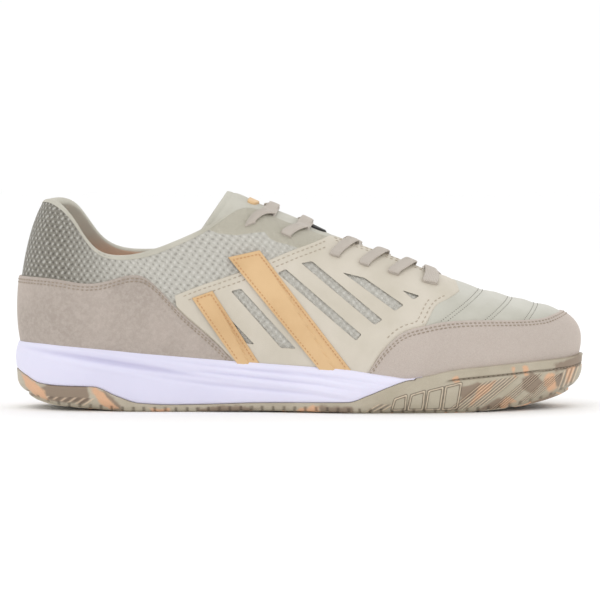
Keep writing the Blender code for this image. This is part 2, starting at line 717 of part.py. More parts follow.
def prism(name, corners, middle_gap=0.0, side=0):
    """Cutter with this side-view outline. side picks one half of the shoe."""
    flat = [((x - 0.5) * LENGTH, z * COLLAR_HEIGHT) for x, z in corners]
    wide = 0.7 * BALL_WIDTH
    near, far = (-wide, wide) if side == 0 else (side * middle_gap, side * wide)
    points = [(x, near, z) for x, z in flat] + [(x, far, z) for x, z in flat]
    count = len(flat)
    faces = [tuple(range(count)), tuple(range(2 * count - 1, count - 1, -1))]
    faces += [(i, (i + 1) % count, count + (i + 1) % count, count + i) for i in range(count)]
    return make_object(name, points, faces, None, helper=True)


def clear_of_rim(place, out):
    """Share of each section's curve where a piece this far out clears the sole."""
    fine = np.linspace(0, 0.4, 401)
    rim = sole_height("rim", outline(place)[0][:, 0])
    clear = upper_shell(place, fine, out)[..., 2] > rim[:, None] + GAP
    return fine[clear.argmax(axis=1)]


def own_places(start, end):
    """The upper's own places from start to end, across the heel if start is past end."""
    place = side_places()
    if start < end:
        return place[(place >= start) & (place <= end)]
    return np.concatenate([place[place >= start], place[place <= end]])


def overlay(name, places, low, thick, corners, finish, rows=RAY_STEPS):
    """Piece of even thickness, with the upper's own facets, cut to an outline."""
    steps = np.arange(0, rows + 1) / RAY_STEPS
    t = np.tile(steps, (len(places), 1))
    t[:, 0] = clear_of_rim(places, low + thick)
    face_out = upper_shell(places, t, low + thick)
    piece = slab(name, face_out, upper_shell(places, t, low), finish)
    boolean(piece, prism(f"{name}_edge", corners), "INTERSECT")
    return piece


def place_at(x_share, inner):
    """Place on one side of the outline with this share of the length."""
    fine = np.linspace(TOE_PLACE, 1, 1500) if inner else np.linspace(0, TOE_PLACE, 1500)
    x = share_of_length(outline(fine)[0][:, 0])
    return float(fine[np.abs(x - x_share).argmin()])


def build_suede():
    counter = own_places(place_at(0.44, True), place_at(0.44, False))
    overlay("heel_counter", counter, GAP, SUEDE_THICKNESS, below_line(COUNTER_EDGE), "suede", 6)
    toe = own_places(place_at(0.58, False), place_at(0.58, True))
    overlay("toe_guard", toe, GAP, SUEDE_THICKNESS, below_line(TOE_EDGE), "suede", 6)


def build_quarters():
    for side, sign in (("outer", -1), ("inner", 1)):
        ends = sorted((place_at(0.24, sign > 0), place_at(0.965, sign > 0)))
        name = f"quarter_{side}"
        panel = overlay(name, own_places(*ends), GAP, QUARTER_THICKNESS, QUARTER_EDGE, "quarter")
        for number, window in enumerate(WINDOWS):
            cutter = prism(f"window_{side}_{number}", window, 0.06 * BALL_WIDTH, sign)
            boolean(panel, cutter, "DIFFERENCE")


def build_saddle_straps():
    low = QUARTER_THICKNESS + 2 * GAP
    for side, sign in (("outer", -1), ("inner", 1)):
        for which, corners in SADDLE_STRAPS:
            reach = [x for x, _ in corners]
            ends = sorted(place_at(x, sign > 0) for x in (min(reach) - 0.05, max(reach) + 0.10))
            name = f"saddle_{which}_{side}"
            overlay(name, own_places(*ends), low, SADDLE_THICKNESS, corners, "saddle")


def place_with_top(x_share, inner):
    """Place whose section ends at this share of the length on the throat."""
    fine = np.linspace(TOE_PLACE, 1, 1500) if inner else np.linspace(0, TOE_PLACE, 1500)
    x = share_of_length(section_controls(fine)[3][:, 0])
    return float(fine[np.abs(x - x_share).argmin()])


def tongue_row(side, depth, at):
    """Across the tongue from one throat edge to the other, this far below
    its top face. The wings lie under the throat's edge."""
    wing = np.array((0.80, 0.90, 0.97, 1.0))
    table = np.array(TONGUE)
    x, z = curve_through(table[:, 0], table[:, 1:], [side])[0]
    outer = place_with_top(side, False)
    inner = place_with_top(side, True)
    extra = wall_at(np.array([outer, inner]), wing)
    left = upper_shell(outer, wing, -(TONGUE_CLEARANCE + depth + extra[:1]))[0]
    right = upper_shell(inner, wing, -(TONGUE_CLEARANCE + depth + extra[1:]))[0]
    crown = np.array(((x - 0.5) * LENGTH, 0.0, z * COLLAR_HEIGHT - depth))
    knots = np.concatenate([left, crown[None], right[::-1]])
    steps = np.linalg.norm(np.diff(knots, axis=0), axis=1)
    along = np.concatenate([[0], np.cumsum(steps)]) / steps.sum()
    points = curve_through(along, knots, at)
    # Seen from the side, the rear edge is straight from the collar to the crown
    rake = np.clip((RAKED[1] - side) / (RAKED[1] - RAKED[0]), 0, 1)
    for edge, beyond in ((3, points[:, 1] < 0), (5, points[:, 1] >= 0)):
        start, top = knots[edge], knots[4]
        share = np.clip((points[:, 2] - start[2]) / (top[2] - start[2]), 0, 1)
        straight = start[0] + (top[0] - start[0]) * share
        above = beyond & (points[:, 2] > start[2])
        points[:, 0] += np.where(above, rake * (straight - points[:, 0]), 0)
    return points


def build_tongue():
    at = np.linspace(0, 1, 15)
    top = np.array([tongue_row(row[0], 0.0, at) for row in TONGUE])
    bottom = np.array([tongue_row(row[0], TONGUE_THICKNESS, at) for row in TONGUE])
    slab("tongue", top, bottom, "tongue")


def tongue_patch(name, sides, span, low, thick, finish, steps=4):
    """Plain patch over the crown of the tongue. span is its share across."""
    at = np.linspace(*span, 5)
    rows = np.linspace(*sides, steps)
    top = np.array([tongue_row(side, -(low + thick), at) for side in rows])
    bottom = np.array([tongue_row(side, -low, at) for side in rows])
    slab(name, top, bottom, finish)


def build_patches():
    tongue_patch("tongue_badge", BADGE_SIDES, BADGE_SPAN, PATCH_CLEARANCE, BADGE_THICKNESS, "saddle", 3)
    tongue_patch("lace_keeper", KEEPER_SIDES, KEEPER_SPAN, PATCH_CLEARANCE, KEEPER_THICKNESS, "keeper", 3)


def eyelet_share(place, setback):
    """Share of a section's curve at which its lace hole lies."""
    fine = np.linspace(0.5, 1, 201)
    line = upper_points(place, fine)[0]
    lengths = np.linalg.norm(np.diff(line, axis=0), axis=1)
    to_edge = lengths.sum() - np.concatenate([[0], np.cumsum(lengths)])
    return float(fine[np.abs(to_edge - setback).argmin()])


def eyelet_cutter(name, sign, first):
    """Slots through the wall for the lace, from this row of holes on."""
    points, faces = [], []
    for x, _, setback in EYELETS[first:]:
        place = np.array([place_with_top(x, sign > 0)])
        t = eyelet_share(place, setback)
        middle = upper_points(place, [t])[0, 0]
        normal = upper_normals(place, [t])[0, 0]
        up = upper_points(place, [t + 0.01])[0, 0] - middle
        up /= np.linalg.norm(up)
        along = np.cross(up, normal)
        start = len(points)
        for out in (-0.0045, 0.0030):
            for a, b in ((-1, -1), (1, -1), (1, 1), (-1, 1)):
                corner = middle + along * a * EYELET_WIDTH / 2 + up * b * EYELET_HEIGHT / 2
                points.append(corner + normal * out)
        faces += [tuple(start + k for k in face) for face in BOX_FACES]
    return make_object(name, points, faces, None, helper=True)


def cut_eyelets():
    for side, sign in (("outer", -1), ("inner", 1)):
        everywhere = eyelet_cutter(f"eyelets_{side}", sign, 0)
        boolean(bpy.data.objects["upper"], everywhere, "DIFFERENCE")
        in_panel = eyelet_cutter(f"panel_eyelets_{side}", sign, KNIT_EYELET_COUNT)
        boolean(bpy.data.objects[f"quarter_{side}"], in_panel, "DIFFERENCE")


def lace_on_wall(first, lean, setback, on_wall, sign):
    """Points from a lace hole up the outside of the wall and over its edge."""
    hole, middle, edge = (
        np.array([place_with_top(first + share * lean, sign > 0)]) for share in (0.0, 0.5, 1.0)
    )
    t = eyelet_share(hole, setback)
    return [
        upper_shell(hole, [t], on_wall)[0, 0],
        upper_shell(middle, [0.5 * t + 0.5], on_wall + 0.0002)[0, 0],
        upper_shell(edge, [1.0], on_wall + 0.0008)[0, 0],
    ]


def lace_rail(start, end, sign, shift, lift, hump, steps):
    """Line along a lace from a hole on one side, over the throat's edge and
    the tongue. shift moves it across the lace and lift off what it lies on.
    A lace that ends in its own row runs on to the hole on the other side."""
    hole, lean, setback = EYELETS[start]
    first = hole + shift
    on_wall = lift + LACE_TO_WALL + (QUARTER_THICKNESS + GAP if start >= KNIT_EYELET_COUNT else 0)
    knots = lace_on_wall(first, lean, setback, on_wall, sign)
    near, far = LACE_TONGUE_SPAN
    leaves, arrives = LACE_ON_TONGUE
    for k in (0.0, 0.33, 0.67, 1.0):
        across = near + (far - near) * k
        across = across if sign < 0 else 1 - across
        side = first + lean + leaves + (arrives - leaves) * k
        rise = LACE_CLEARANCE + lift + hump * (0 < k < 1)
        knots.append(tongue_row(side, -rise, np.array([across]))[0])
    if start == end:
        knots[3:] = [knots[4] + UP * 0.0008, knots[5] + UP * 0.0008]
        knots += lace_on_wall(first, lean, setback, on_wall, -sign)[::-1]
    knots = np.array(knots)
    return curve_through(np.arange(len(knots)), knots, np.linspace(0, len(knots) - 1, steps))


def lace_strap(name, start, end, sign, hump, helper=False, steps=10):
    half = LACE_WIDTH / 2 / LENGTH
    faces = []
    for lift in (LACE_THICKNESS, 0.0):
        rails = [lace_rail(start, end, sign, shift, lift, hump, steps) for shift in (-half, half)]
        faces.append(np.stack(rails, axis=1))
    return slab(name, *faces, "lace", helper)


def build_laces():
    for number in range(len(EYELETS) - 1):
        ends = (number, number + 1)
        over = lace_strap(f"lace_cross_{number + 1}", *ends, -1, 0.7 * LACE_THICKNESS)
        under = lace_strap(f"lace_under_{number + 1}", *ends, 1, 0.0, helper=True)
        boolean(over, under, "UNION")
    last = len(EYELETS) - 1
    lace_strap("lace_bar", last, last, -1, 0.0, steps=15)


def start():
    for obj in list(bpy.data.objects):
        bpy.data.objects.remove(obj)


def main():
    start()
    build_outsole()
    build_midsole()
    build_insole()
    build_upper()
    build_suede()
    build_quarters()
    build_saddle_straps()
    build_tongue()
    build_patches()
    cut_eyelets()
    build_laces()


main()
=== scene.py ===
"""Looks of the indoor soccer shoe: every piece is built on the same forms as the solids.

Lengths are in metres, the toe points along +X, the outer side is -Y and +Z is up.
Places run round the outline from the heel along the outer side to the toe and back.
"""

import math

import bmesh
import bpy
import numpy as np
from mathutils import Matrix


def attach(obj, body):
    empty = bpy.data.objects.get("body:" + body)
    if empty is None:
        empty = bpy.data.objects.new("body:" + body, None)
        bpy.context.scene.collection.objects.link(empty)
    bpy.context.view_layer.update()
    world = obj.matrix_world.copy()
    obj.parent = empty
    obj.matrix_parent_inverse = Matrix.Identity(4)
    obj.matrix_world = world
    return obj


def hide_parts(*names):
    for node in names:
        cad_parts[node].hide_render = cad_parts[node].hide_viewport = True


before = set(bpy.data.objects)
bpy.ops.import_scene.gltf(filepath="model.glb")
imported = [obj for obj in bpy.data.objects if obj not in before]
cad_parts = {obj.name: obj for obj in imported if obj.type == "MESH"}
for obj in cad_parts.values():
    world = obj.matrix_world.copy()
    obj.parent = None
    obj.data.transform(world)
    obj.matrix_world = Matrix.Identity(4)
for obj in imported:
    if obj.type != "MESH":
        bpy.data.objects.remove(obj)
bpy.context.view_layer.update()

MM = 0.001
LENGTH = 0.288
BALL_WIDTH = 0.100
COLLAR_HEIGHT = 0.1055
SOLE_HEIGHT = 0.034
GAP = 0.0003
RIM_WALL = 0.0028
UPPER_WALL = 0.0018
COLLAR_PADDING = 0.0046
INSOLE_THICKNESS = 0.0040
SUEDE_THICKNESS = 0.0014
QUARTER_THICKNESS = 0.0011
SADDLE_THICKNESS = 0.0013
TONGUE_THICKNESS = 0.0030
TONGUE_CLEARANCE = 0.0009
LACE_WIDTH = 0.0056
LACE_THICKNESS = 0.0011
EDGE_ROUND = 0.0070
EDGE_ROUND_SHARE = 0.5
EDGE_ROUND_LEAST = 0.0022
EDGE_ROUNDING = ((0.0, 1.0), (0.13, 0.56), (0.32, 0.22), (0.55, 0.05), (1.0, 0.0))
FOXING_BAND = 0.0050
FOXING_START = 0.755
COVER_START = 0.700
# Relief of the looks alone: how thick the sheets of knit and leather are, and how
# far one dips where another covers it
SHEET_THICKNESS = 0.0009
DIP = 0.00065
# Seams, as distances in mm from a cut edge, and the width of a seam's trough in mm
SUEDE_SEAMS = (1.8, 3.3)
QUARTER_SEAMS = (2.0, 4.6)
SADDLE_SEAM = 1.5
SEAM_WIDTH = 0.38
# Rows of needle holes either side of a quilting seam, in mm
QUILT_ROWS = (-0.9, 0.9)
# A step along a curve, small enough to give its direction there
SMALL = 1e-4

SECTION_COLUMNS = ("foot_x", "foot_y", "top_x", "top_y", "top_z", "rise", "bulge", "reach", "drop")
SECTIONS = (
    ("heel", 0.000, 0.000, 0.048, 0.000, 0.995, 0.34, 0.048, 0.76, 0.17),
    ("heel corner, outer", 0.028, -0.190, 0.062, -0.115, 1.000, 0.34, 0.044, 0.76, 0.16),
    ("heel side, outer", 0.095, -0.310, 0.106, -0.215, 0.900, 0.38, 0.040, 0.80, 0.20),
    ("collar back, outer", 0.145, -0.333, 0.140, -0.260, 0.775, 0.42, 0.034, 0.80, 0.25),
    ("collar low, outer", 0.200, -0.345, 0.186, -0.280, 0.733, 0.42, 0.034, 0.80, 0.25),
    ("collar front, outer", 0.320, -0.350, 0.286, -0.280, 0.803, 0.42, 0.028, 0.60, 0.25),
    ("collar to throat, outer", 0.385, -0.366, 0.347, -0.240, 0.888, 0.43, 0.024, 0.64, 0.16),
    ("throat crest, outer", 0.447, -0.390, 0.404, -0.175, 0.967, 0.45, 0.020, 0.68, 0.10),
    ("throat back, outer", 0.505, -0.422, 0.462, -0.158, 0.915, 0.45, 0.018, 0.67, 0.10),
    ("throat middle, outer", 0.565, -0.456, 0.533, -0.155, 0.843, 0.45, 0.015, 0.66, 0.11),
    ("ball, outer", 0.660, -0.487, 0.639, -0.145, 0.749, 0.45, 0.012, 0.68, 0.14),
    ("throat front, outer", 0.770, -0.462, 0.712, -0.125, 0.670, 0.50, 0.014, 0.70, 0.20),
    ("toe side, outer", 0.870, -0.365, 0.743, -0.085, 0.638, 0.58, 0.028, 0.70, 0.33),
    ("toe corner, outer", 0.950, -0.205, 0.755, -0.040, 0.626, 0.66, 0.056, 0.70, 0.39),
    ("toe", 1.000, 0.045, 0.759, 0.005, 0.622, 0.66, 0.070, 0.70, 0.41),
    ("toe corner, inner", 0.965, 0.270, 0.753, 0.050, 0.622, 0.66, 0.056, 0.70, 0.39),
    ("toe side, inner", 0.900, 0.400, 0.740, 0.090, 0.629, 0.60, 0.030, 0.70, 0.33),
    ("throat front, inner", 0.810, 0.478, 0.705, 0.125, 0.659, 0.53, 0.014, 0.70, 0.22),
    ("ball, inner", 0.710, 0.497, 0.646, 0.145, 0.728, 0.47, 0.012, 0.68, 0.15),
    ("throat middle, inner", 0.600, 0.425, 0.559, 0.155, 0.814, 0.47, 0.010, 0.66, 0.10),
    ("throat back, inner", 0.530, 0.365, 0.493, 0.160, 0.888, 0.48, 0.009, 0.68, 0.10),
    ("throat crest, inner", 0.455, 0.320, 0.415, 0.175, 0.965, 0.50, 0.008, 0.70, 0.10),
    ("collar to throat, inner", 0.380, 0.302, 0.350, 0.245, 0.872, 0.49, 0.013, 0.64, 0.16),
    ("collar front, inner", 0.310, 0.304, 0.290, 0.285, 0.776, 0.46, 0.020, 0.60, 0.22),
    ("collar low, inner", 0.210, 0.325, 0.216, 0.290, 0.738, 0.44, 0.028, 0.75, 0.25),
    ("collar back, inner", 0.145, 0.318, 0.150, 0.267, 0.795, 0.44, 0.034, 0.80, 0.25),
    ("heel side, inner", 0.090, 0.290, 0.108, 0.215, 0.945, 0.38, 0.040, 0.80, 0.20),
    ("heel corner, inner", 0.028, 0.180, 0.064, 0.115, 1.003, 0.34, 0.044, 0.76, 0.16),
)
SOLE_COLUMNS = ("x", "floor", "wall", "rim", "bed")
SOLE = (
    (0.000, 0.235, 0.590, 1.000, 0.632),
    (0.017, 0.212, 0.509, 0.997, 0.626),
    (0.042, 0.135, 0.403, 0.991, 0.618),
    (0.076, 0.071, 0.374, 0.971, 0.603),
    (0.139, 0.032, 0.365, 0.929, 0.579),
    (0.181, 0.009, 0.226, 0.897, 0.559),
    (0.219, -0.006, 0.126, 0.865, 0.541),
    (0.274, -0.009, 0.103, 0.826, 0.518),
    (0.333, 0.003, 0.112, 0.785, 0.485),
    (0.431, 0.024, 0.141, 0.726, 0.426),
    (0.528, 0.021, 0.153, 0.676, 0.362),
    (0.583, 0.009, 0.162, 0.641, 0.326),
    (0.618, 0.000, 0.265, 0.597, 0.306),
    (0.656, -0.006, 0.400, 0.553, 0.288),
    (0.684, -0.009, 0.487, 0.522, 0.279),
    (0.715, -0.009, 0.548, 0.548, 0.276),
    (0.771, -0.003, 0.642, 0.642, 0.285),
    (0.826, 0.022, 0.685, 0.685, 0.318),
    (0.882, 0.066, 0.719, 0.719, 0.376),
    (0.924, 0.126, 0.741, 0.741, 0.435),
    (0.958, 0.200, 0.757, 0.757, 0.500),
    (0.979, 0.262, 0.772, 0.772, 0.541),
    (1.000, 0.290, 0.806, 0.806, 0.576),
)
# Edges of the overlays seen from the side: shares of the length and the collar's height
COUNTER_EDGE = (
    (-0.030, 0.637), (0.060, 0.632), (0.112, 0.612), (0.152, 0.613), (0.189, 0.640),
    (0.210, 0.649), (0.228, 0.640), (0.251, 0.592), (0.274, 0.526), (0.302, 0.450),
    (0.338, 0.367), (0.383, 0.245), (0.405, 0.150),
)
TOE_EDGE = (
    (0.610, 0.150), (0.635, 0.263), (0.656, 0.333), (0.680, 0.384), (0.710, 0.409),
    (0.746, 0.428), (0.790, 0.435), (0.843, 0.432), (0.898, 0.430), (0.934, 0.440),
    (0.970, 0.462), (1.030, 0.475),
)
QUARTER_TOP = (
    (0.280, 0.550), (0.330, 0.603), (0.389, 0.659), (0.458, 0.735), (0.492, 0.772),
    (0.525, 0.803), (0.563, 0.845), (0.600, 0.900), (0.680, 0.900),
)
QUARTER_FRONT = ((0.778, 0.565), (0.753, 0.528), (0.732, 0.490), (0.713, 0.402), (0.685, 0.372))
QUARTER_FOOT = ((0.661, 0.322), (0.640, 0.255), (0.615, 0.120), (0.560, 0.100), (0.415, 0.120))
QUARTER_BACK = ((0.415, 0.120), (0.372, 0.245), (0.326, 0.367), (0.292, 0.450), (0.280, 0.550))
WINDOWS = (
    ((0.357, 0.462), (0.365, 0.480), (0.421, 0.323), (0.389, 0.334)),
    ((0.380, 0.575), (0.397, 0.588), (0.493, 0.305), (0.467, 0.307)),
    ((0.453, 0.512), (0.472, 0.545), (0.553, 0.318), (0.533, 0.318)),
    ((0.461, 0.661), (0.475, 0.681), (0.607, 0.374), (0.597, 0.345)),
    ((0.502, 0.708), (0.521, 0.717), (0.643, 0.444), (0.629, 0.420)),
    ((0.574, 0.664), (0.612, 0.639), (0.680, 0.512), (0.665, 0.484)),
    ((0.678, 0.580), (0.708, 0.554), (0.697, 0.536)),
)
SADDLE_STRAPS = (
    ("back", ((0.312, 0.540), (0.348, 0.575), (0.4327, 0.222), (0.3947, 0.222))),
    ("front", ((0.375, 0.732), (0.430, 0.765), (0.5908, 0.200), (0.5377, 0.200))),
)
# Where the olive knit of the throat ends and the silver mesh starts
OLIVE_EDGE = (
    (0.325, 0.868), (0.334, 0.870), (0.358, 0.846), (0.389, 0.838), (0.420, 0.850),
    (0.438, 0.855), (0.446, 0.826), (0.460, 0.806), (0.477, 0.795), (0.500, 0.775),
)
# Lace holes: x of the throat's edge above each, and how much nearer to the toe
# its lace meets that edge, then how far below it they lie
EYELETS = (
    (0.399, 0.045, 0.0105), (0.458, 0.045, 0.0135), (0.546, 0.045, 0.0165),
    (0.601, 0.043, 0.0165), (0.652, 0.040, 0.0165), (0.704, 0.020, 0.0165),
)
KNIT_EYELET_COUNT = 2
LACE_TONGUE_SPAN = (0.33, 0.65)
LACE_ON_TONGUE = (0.002, 0.006)
LACE_CLEARANCE = 0.0015
LACE_TO_WALL = 0.0004
PATCH_CLEARANCE = 0.0004
TONGUE_PUFF = 0.00035
RAKED = (0.320, 0.440)
BADGE_SIDES = (0.392, 0.416)
BADGE_SPAN = (0.38, 0.64)
KEEPER_SIDES = (0.500, 0.540)
KEEPER_SPAN = (0.42, 0.58)
TONGUE = (
    (0.320, 0.369, 1.046),
    (0.362, 0.394, 1.024),
    (0.410, 0.424, 0.985),
    (0.450, 0.457, 0.950),
    (0.500, 0.507, 0.892),
    (0.560, 0.566, 0.815),
    (0.620, 0.625, 0.745),
    (0.680, 0.682, 0.675),
    (0.710, 0.712, 0.640),
    (0.740, 0.744, 0.602),
)
# Quilting seams over the forefoot: x and height on the crown, and how fast
# each falls back towards the heel on its way down
QUILTS = ((0.813, 0.559, 1.40), (0.8675, 0.525, 1.28), (0.915, 0.494, 0.88))
# Where the last quilt swells, how high up it starts to, and how far it spreads
LAST_QUILT = (0.124, 0.048, 0.0055)


TANGENTS = {}


def tangents_through(knots, values, period):
    """Slopes at the knots that give an even bend at each of them."""
    key = (knots.tobytes(), values.tobytes(), period)
    if key in TANGENTS:
        return TANGENTS[key]
    step = np.diff(knots)
    slope = np.diff(values, axis=0) / step[:, None]
    count = len(knots)
    system = np.zeros((count, count))
    right = np.zeros_like(values)
    for i in range(1, count - 1):
        system[i, i - 1 : i + 2] = step[i], 2 * (step[i - 1] + step[i]), step[i - 1]
        right[i] = 3 * (step[i] * slope[i - 1] + step[i - 1] * slope[i])
    if period is None:
        system[0, :2] = 2, 1
        right[0] = 3 * slope[0]
        system[-1, -2:] = 1, 2
        right[-1] = 3 * slope[-1]
    else:
        system[0, [0, 1, -2]] = 2 * (step[-1] + step[0]), step[-1], step[0]
        right[0] = 3 * (step[0] * slope[-1] + step[-1] * slope[0])
        system[-1, 0] = 1
        system[-1, -1] = -1
    TANGENTS[key] = np.linalg.solve(system, right)
    return TANGENTS[key]


def cubics(knots, values, tangent, at):
    """Curve through the rows that has these slopes at them."""
    i = np.clip(np.searchsorted(knots, at, side="right") - 1, 0, len(knots) - 2)
    step = knots[i + 1] - knots[i]
    t = (at - knots[i]) / step
    if values.ndim > 1:
        step, t = step[:, None], t[:, None]
    return (
        values[i] * (2 * t**3 - 3 * t**2 + 1)
        + values[i + 1] * (3 * t**2 - 2 * t**3)
        + step * tangent[i] * (t**3 - 2 * t**2 + t)
        + step * tangent[i + 1] * (t**3 - t**2)
    )


def curve_through(knots, values, at, period=None):
    """Smooth curve through the rows, with an even bend at each of them."""
    knots = np.asarray(knots, float)
    values = np.asarray(values, float)
    at = np.asarray(at, float)
    if period is not None:
        at = knots[0] + np.mod(at - knots[0], period)
        knots = np.append(knots, knots[0] + period)
        values = np.append(values, values[:1], axis=0)
    return cubics(knots, values, tangents_through(knots, values, period), at)


def profile_through(knots, values, at):
    """Curve through the rows that never swings past them."""
    knots = np.asarray(knots, float)
    values = np.asarray(values, float)
    slope = np.diff(values) / np.diff(knots)
    tangent = np.zeros(len(knots))
    same = slope[:-1] * slope[1:] > 0
    mean = 2 * slope[:-1] * slope[1:] / np.where(same, slope[:-1] + slope[1:], 1)
    tangent[1:-1] = np.where(same, mean, 0)
    tangent[0], tangent[-1] = slope[0], slope[-1]
    return cubics(knots, values, tangent, np.clip(at, knots[0], knots[-1]))


def share_of_length(x):
    return x / LENGTH + 0.5


def x_of(share):
    return (share - 0.5) * LENGTH


def run_lengths(line):
    """Length along a line at each of its points."""
    return np.concatenate([[0], np.cumsum(np.linalg.norm(np.diff(line, axis=0), axis=1))])


def sole_height(column, x):
    """Height of a line of the sole at the places x."""
    table = np.array(SOLE)
    values = profile_through(table[:, 0], table[:, SOLE_COLUMNS.index(column)], share_of_length(x))
    return SOLE_HEIGHT * (np.maximum(values, 0) if column == "floor" else values)


SECTION_ROWS = np.array([row[1:] for row in SECTIONS])
FOOT_POINTS = (SECTION_ROWS[:, :2] - (0.5, 0)) * (LENGTH, BALL_WIDTH)
STEPS_ROUND = np.linalg.norm(np.roll(FOOT_POINTS, -1, axis=0) - FOOT_POINTS, axis=1)
PLACES = np.concatenate([[0], np.cumsum(STEPS_ROUND)[:-1]]) / STEPS_ROUND.sum()
ROW_NAMES = [row[0] for row in SECTIONS]
TOE_PLACE = PLACES[ROW_NAMES.index("toe")]
BALL_OUTER = PLACES[ROW_NAMES.index("ball, outer")]
BALL_INNER = PLACES[ROW_NAMES.index("ball, inner")]
FRONT_OUTER = PLACES[ROW_NAMES.index("throat front, outer")]
FRONT_INNER = PLACES[ROW_NAMES.index("throat front, inner")]
UP = np.array((0.0, 0.0, 1.0))


def outline(place):
    """Points and outward directions of the sole's outline, seen from above."""
    points = curve_through(PLACES, FOOT_POINTS, place, 1.0)
    ahead = curve_through(PLACES, FOOT_POINTS, np.asarray(place) + SMALL, 1.0)
    behind = curve_through(PLACES, FOOT_POINTS, np.asarray(place) - SMALL, 1.0)
    along = ahead - behind
    along /= np.linalg.norm(along, axis=1)[:, None]
    return points, np.stack([along[:, 1], -along[:, 0]], axis=1)


def ring(place, offset, height):
    """A loop round the sole, offset outwards. height is a number or takes x."""
    points, outward = outline(place)
    offset = np.broadcast_to(offset, (len(points),))
    flat = points + outward * offset[:, None]
    z = height(flat[:, 0]) if callable(height) else np.broadcast_to(height, (len(flat),))
    return np.column_stack([flat, z])


def section_controls(place):
    """The four control points of each section's curve."""
    values = curve_through(PLACES, SECTION_ROWS, place, 1.0)
    column = {name: values[:, i] for i, name in enumerate(SECTION_COLUMNS)}
    points, outward = outline(place)
    foot_flat = points - outward * (RIM_WALL + GAP)
    foot = np.column_stack([foot_flat, sole_height("rim", points[:, 0])])
    top = np.column_stack([
        x_of(column["top_x"]),
        column["top_y"] * BALL_WIDTH,
        column["top_z"] * COLLAR_HEIGHT,
    ])
    height = (top - foot)[:, 2]
    low = foot + np.outer(column["rise"] * height, UP)
    low[:, :2] += outward * (column["bulge"] * BALL_WIDTH)[:, None]
    high = top - np.outer(column["drop"] * height, UP)
    high[:, :2] += (foot - top)[:, :2] * column["reach"][:, None]
    return foot, low, high, top


def upper_points(place, t):
    """Outer face of the upper: one row of points for each place."""
    a, b, c, d = (p[:, None, :] for p in section_controls(np.atleast_1d(place)))
    t = np.atleast_1d(t)
    t = (t if t.ndim == 2 else np.broadcast_to(t, (a.shape[0], len(t))))[:, :, None]
    return a * (1 - t) ** 3 + 3 * b * t * (1 - t) ** 2 + 3 * c * t**2 * (1 - t) + d * t**3


def upper_normals(place, t):
    place = np.atleast_1d(place)
    t = np.atleast_1d(t)
    t = t if t.ndim == 2 else np.broadcast_to(t, (len(place), len(t)))
    ahead = upper_points(place + SMALL, t) - upper_points(place - SMALL, t)
    up = upper_points(place, t + SMALL) - upper_points(place, t - SMALL)
    normal = np.cross(ahead, up)
    return normal / np.linalg.norm(normal, axis=2)[:, :, None]


def upper_shell(place, t, out):
    """The outer face moved outwards by out, or inwards where out is negative."""
    normal = upper_normals(place, t)
    out = np.broadcast_to(out, normal.shape[:2])
    return upper_points(place, t) + normal * out[:, :, None]


def wall_at(place, t):
    """Thickness of the upper's wall, padded round the collar."""
    top = section_controls(np.atleast_1d(place))[3]
    share = share_of_length(top[:, 0])
    collar = np.clip((0.40 - share) / 0.08, 0, 1)[:, None]
    t = np.asarray(t)
    near_top = np.clip(((t if t.ndim == 2 else t[None, :]) - 0.45) / 0.4, 0, 1)
    swell = (3 * near_top**2 - 2 * near_top**3) * (3 * collar**2 - 2 * collar**3)
    return UPPER_WALL + COLLAR_PADDING * swell


def place_at(x_share, inner):
    """Place on one side of the outline with this share of the length."""
    fine = np.linspace(TOE_PLACE, 1, 1500) if inner else np.linspace(0, TOE_PLACE, 1500)
    x = share_of_length(outline(fine)[0][:, 0])
    return float(fine[np.abs(x - x_share).argmin()])


THROAT_X = {}


def place_with_top(x_share, inner):
    """Place whose section ends at this share of the length on the throat."""
    if inner not in THROAT_X:
        fine = np.linspace(TOE_PLACE, 1, 4000) if inner else np.linspace(0, TOE_PLACE, 4000)
        THROAT_X[inner] = (fine, share_of_length(section_controls(fine)[3][:, 0]))
    fine, x = THROAT_X[inner]
    return float(fine[np.abs(x - x_share).argmin()])


def side_view(points):
    """Shares of the length and of the collar's height, as the edges are given."""
    return np.stack([share_of_length(points[..., 0]), points[..., 2] / COLLAR_HEIGHT], axis=-1)


SIDE_GRID = {}


def on_side(spots, inner):
    """Places and curve shares of spots given in the side view, on one side."""
    spots = np.asarray(spots, float)
    goal = np.column_stack([x_of(spots[:, 0]), spots[:, 1] * COLLAR_HEIGHT])
    if inner not in SIDE_GRID:
        ends = (TOE_PLACE + 0.03, 0.985) if inner else (0.015, TOE_PLACE - 0.03)
        places = np.linspace(*ends, 120)
        steps = np.linspace(-0.06, 1, 54)
        SIDE_GRID[inner] = (places, steps, upper_points(places, steps)[..., (0, 2)])
    places, steps, grid = SIDE_GRID[inner]
    distance = ((grid[None] - goal[:, None, None]) ** 2).sum(axis=-1).reshape(len(goal), -1)
    nearest = distance.argmin(axis=1)
    place = places[nearest // len(steps)].copy()
    t = steps[nearest % len(steps)].copy()

    def at(p, s):
        return upper_points(p, s[:, None])[:, 0][:, (0, 2)]

    for _ in range(8):
        here = at(place, t)
        by_place = (at(place + SMALL, t) - here) / SMALL
        by_t = (at(place, t + SMALL) - here) / SMALL
        off = goal - here
        scale = by_place[:, 0] * by_t[:, 1] - by_place[:, 1] * by_t[:, 0]
        scale = np.where(np.abs(scale) < 1e-9, 1e-9, scale)
        place += np.clip((off[:, 0] * by_t[:, 1] - off[:, 1] * by_t[:, 0]) / scale, -0.01, 0.01)
        t += np.clip((by_place[:, 0] * off[:, 1] - by_place[:, 1] * off[:, 0]) / scale, -0.05, 0.05)
        t = np.clip(t, -0.1, 1.0)
    return place, t


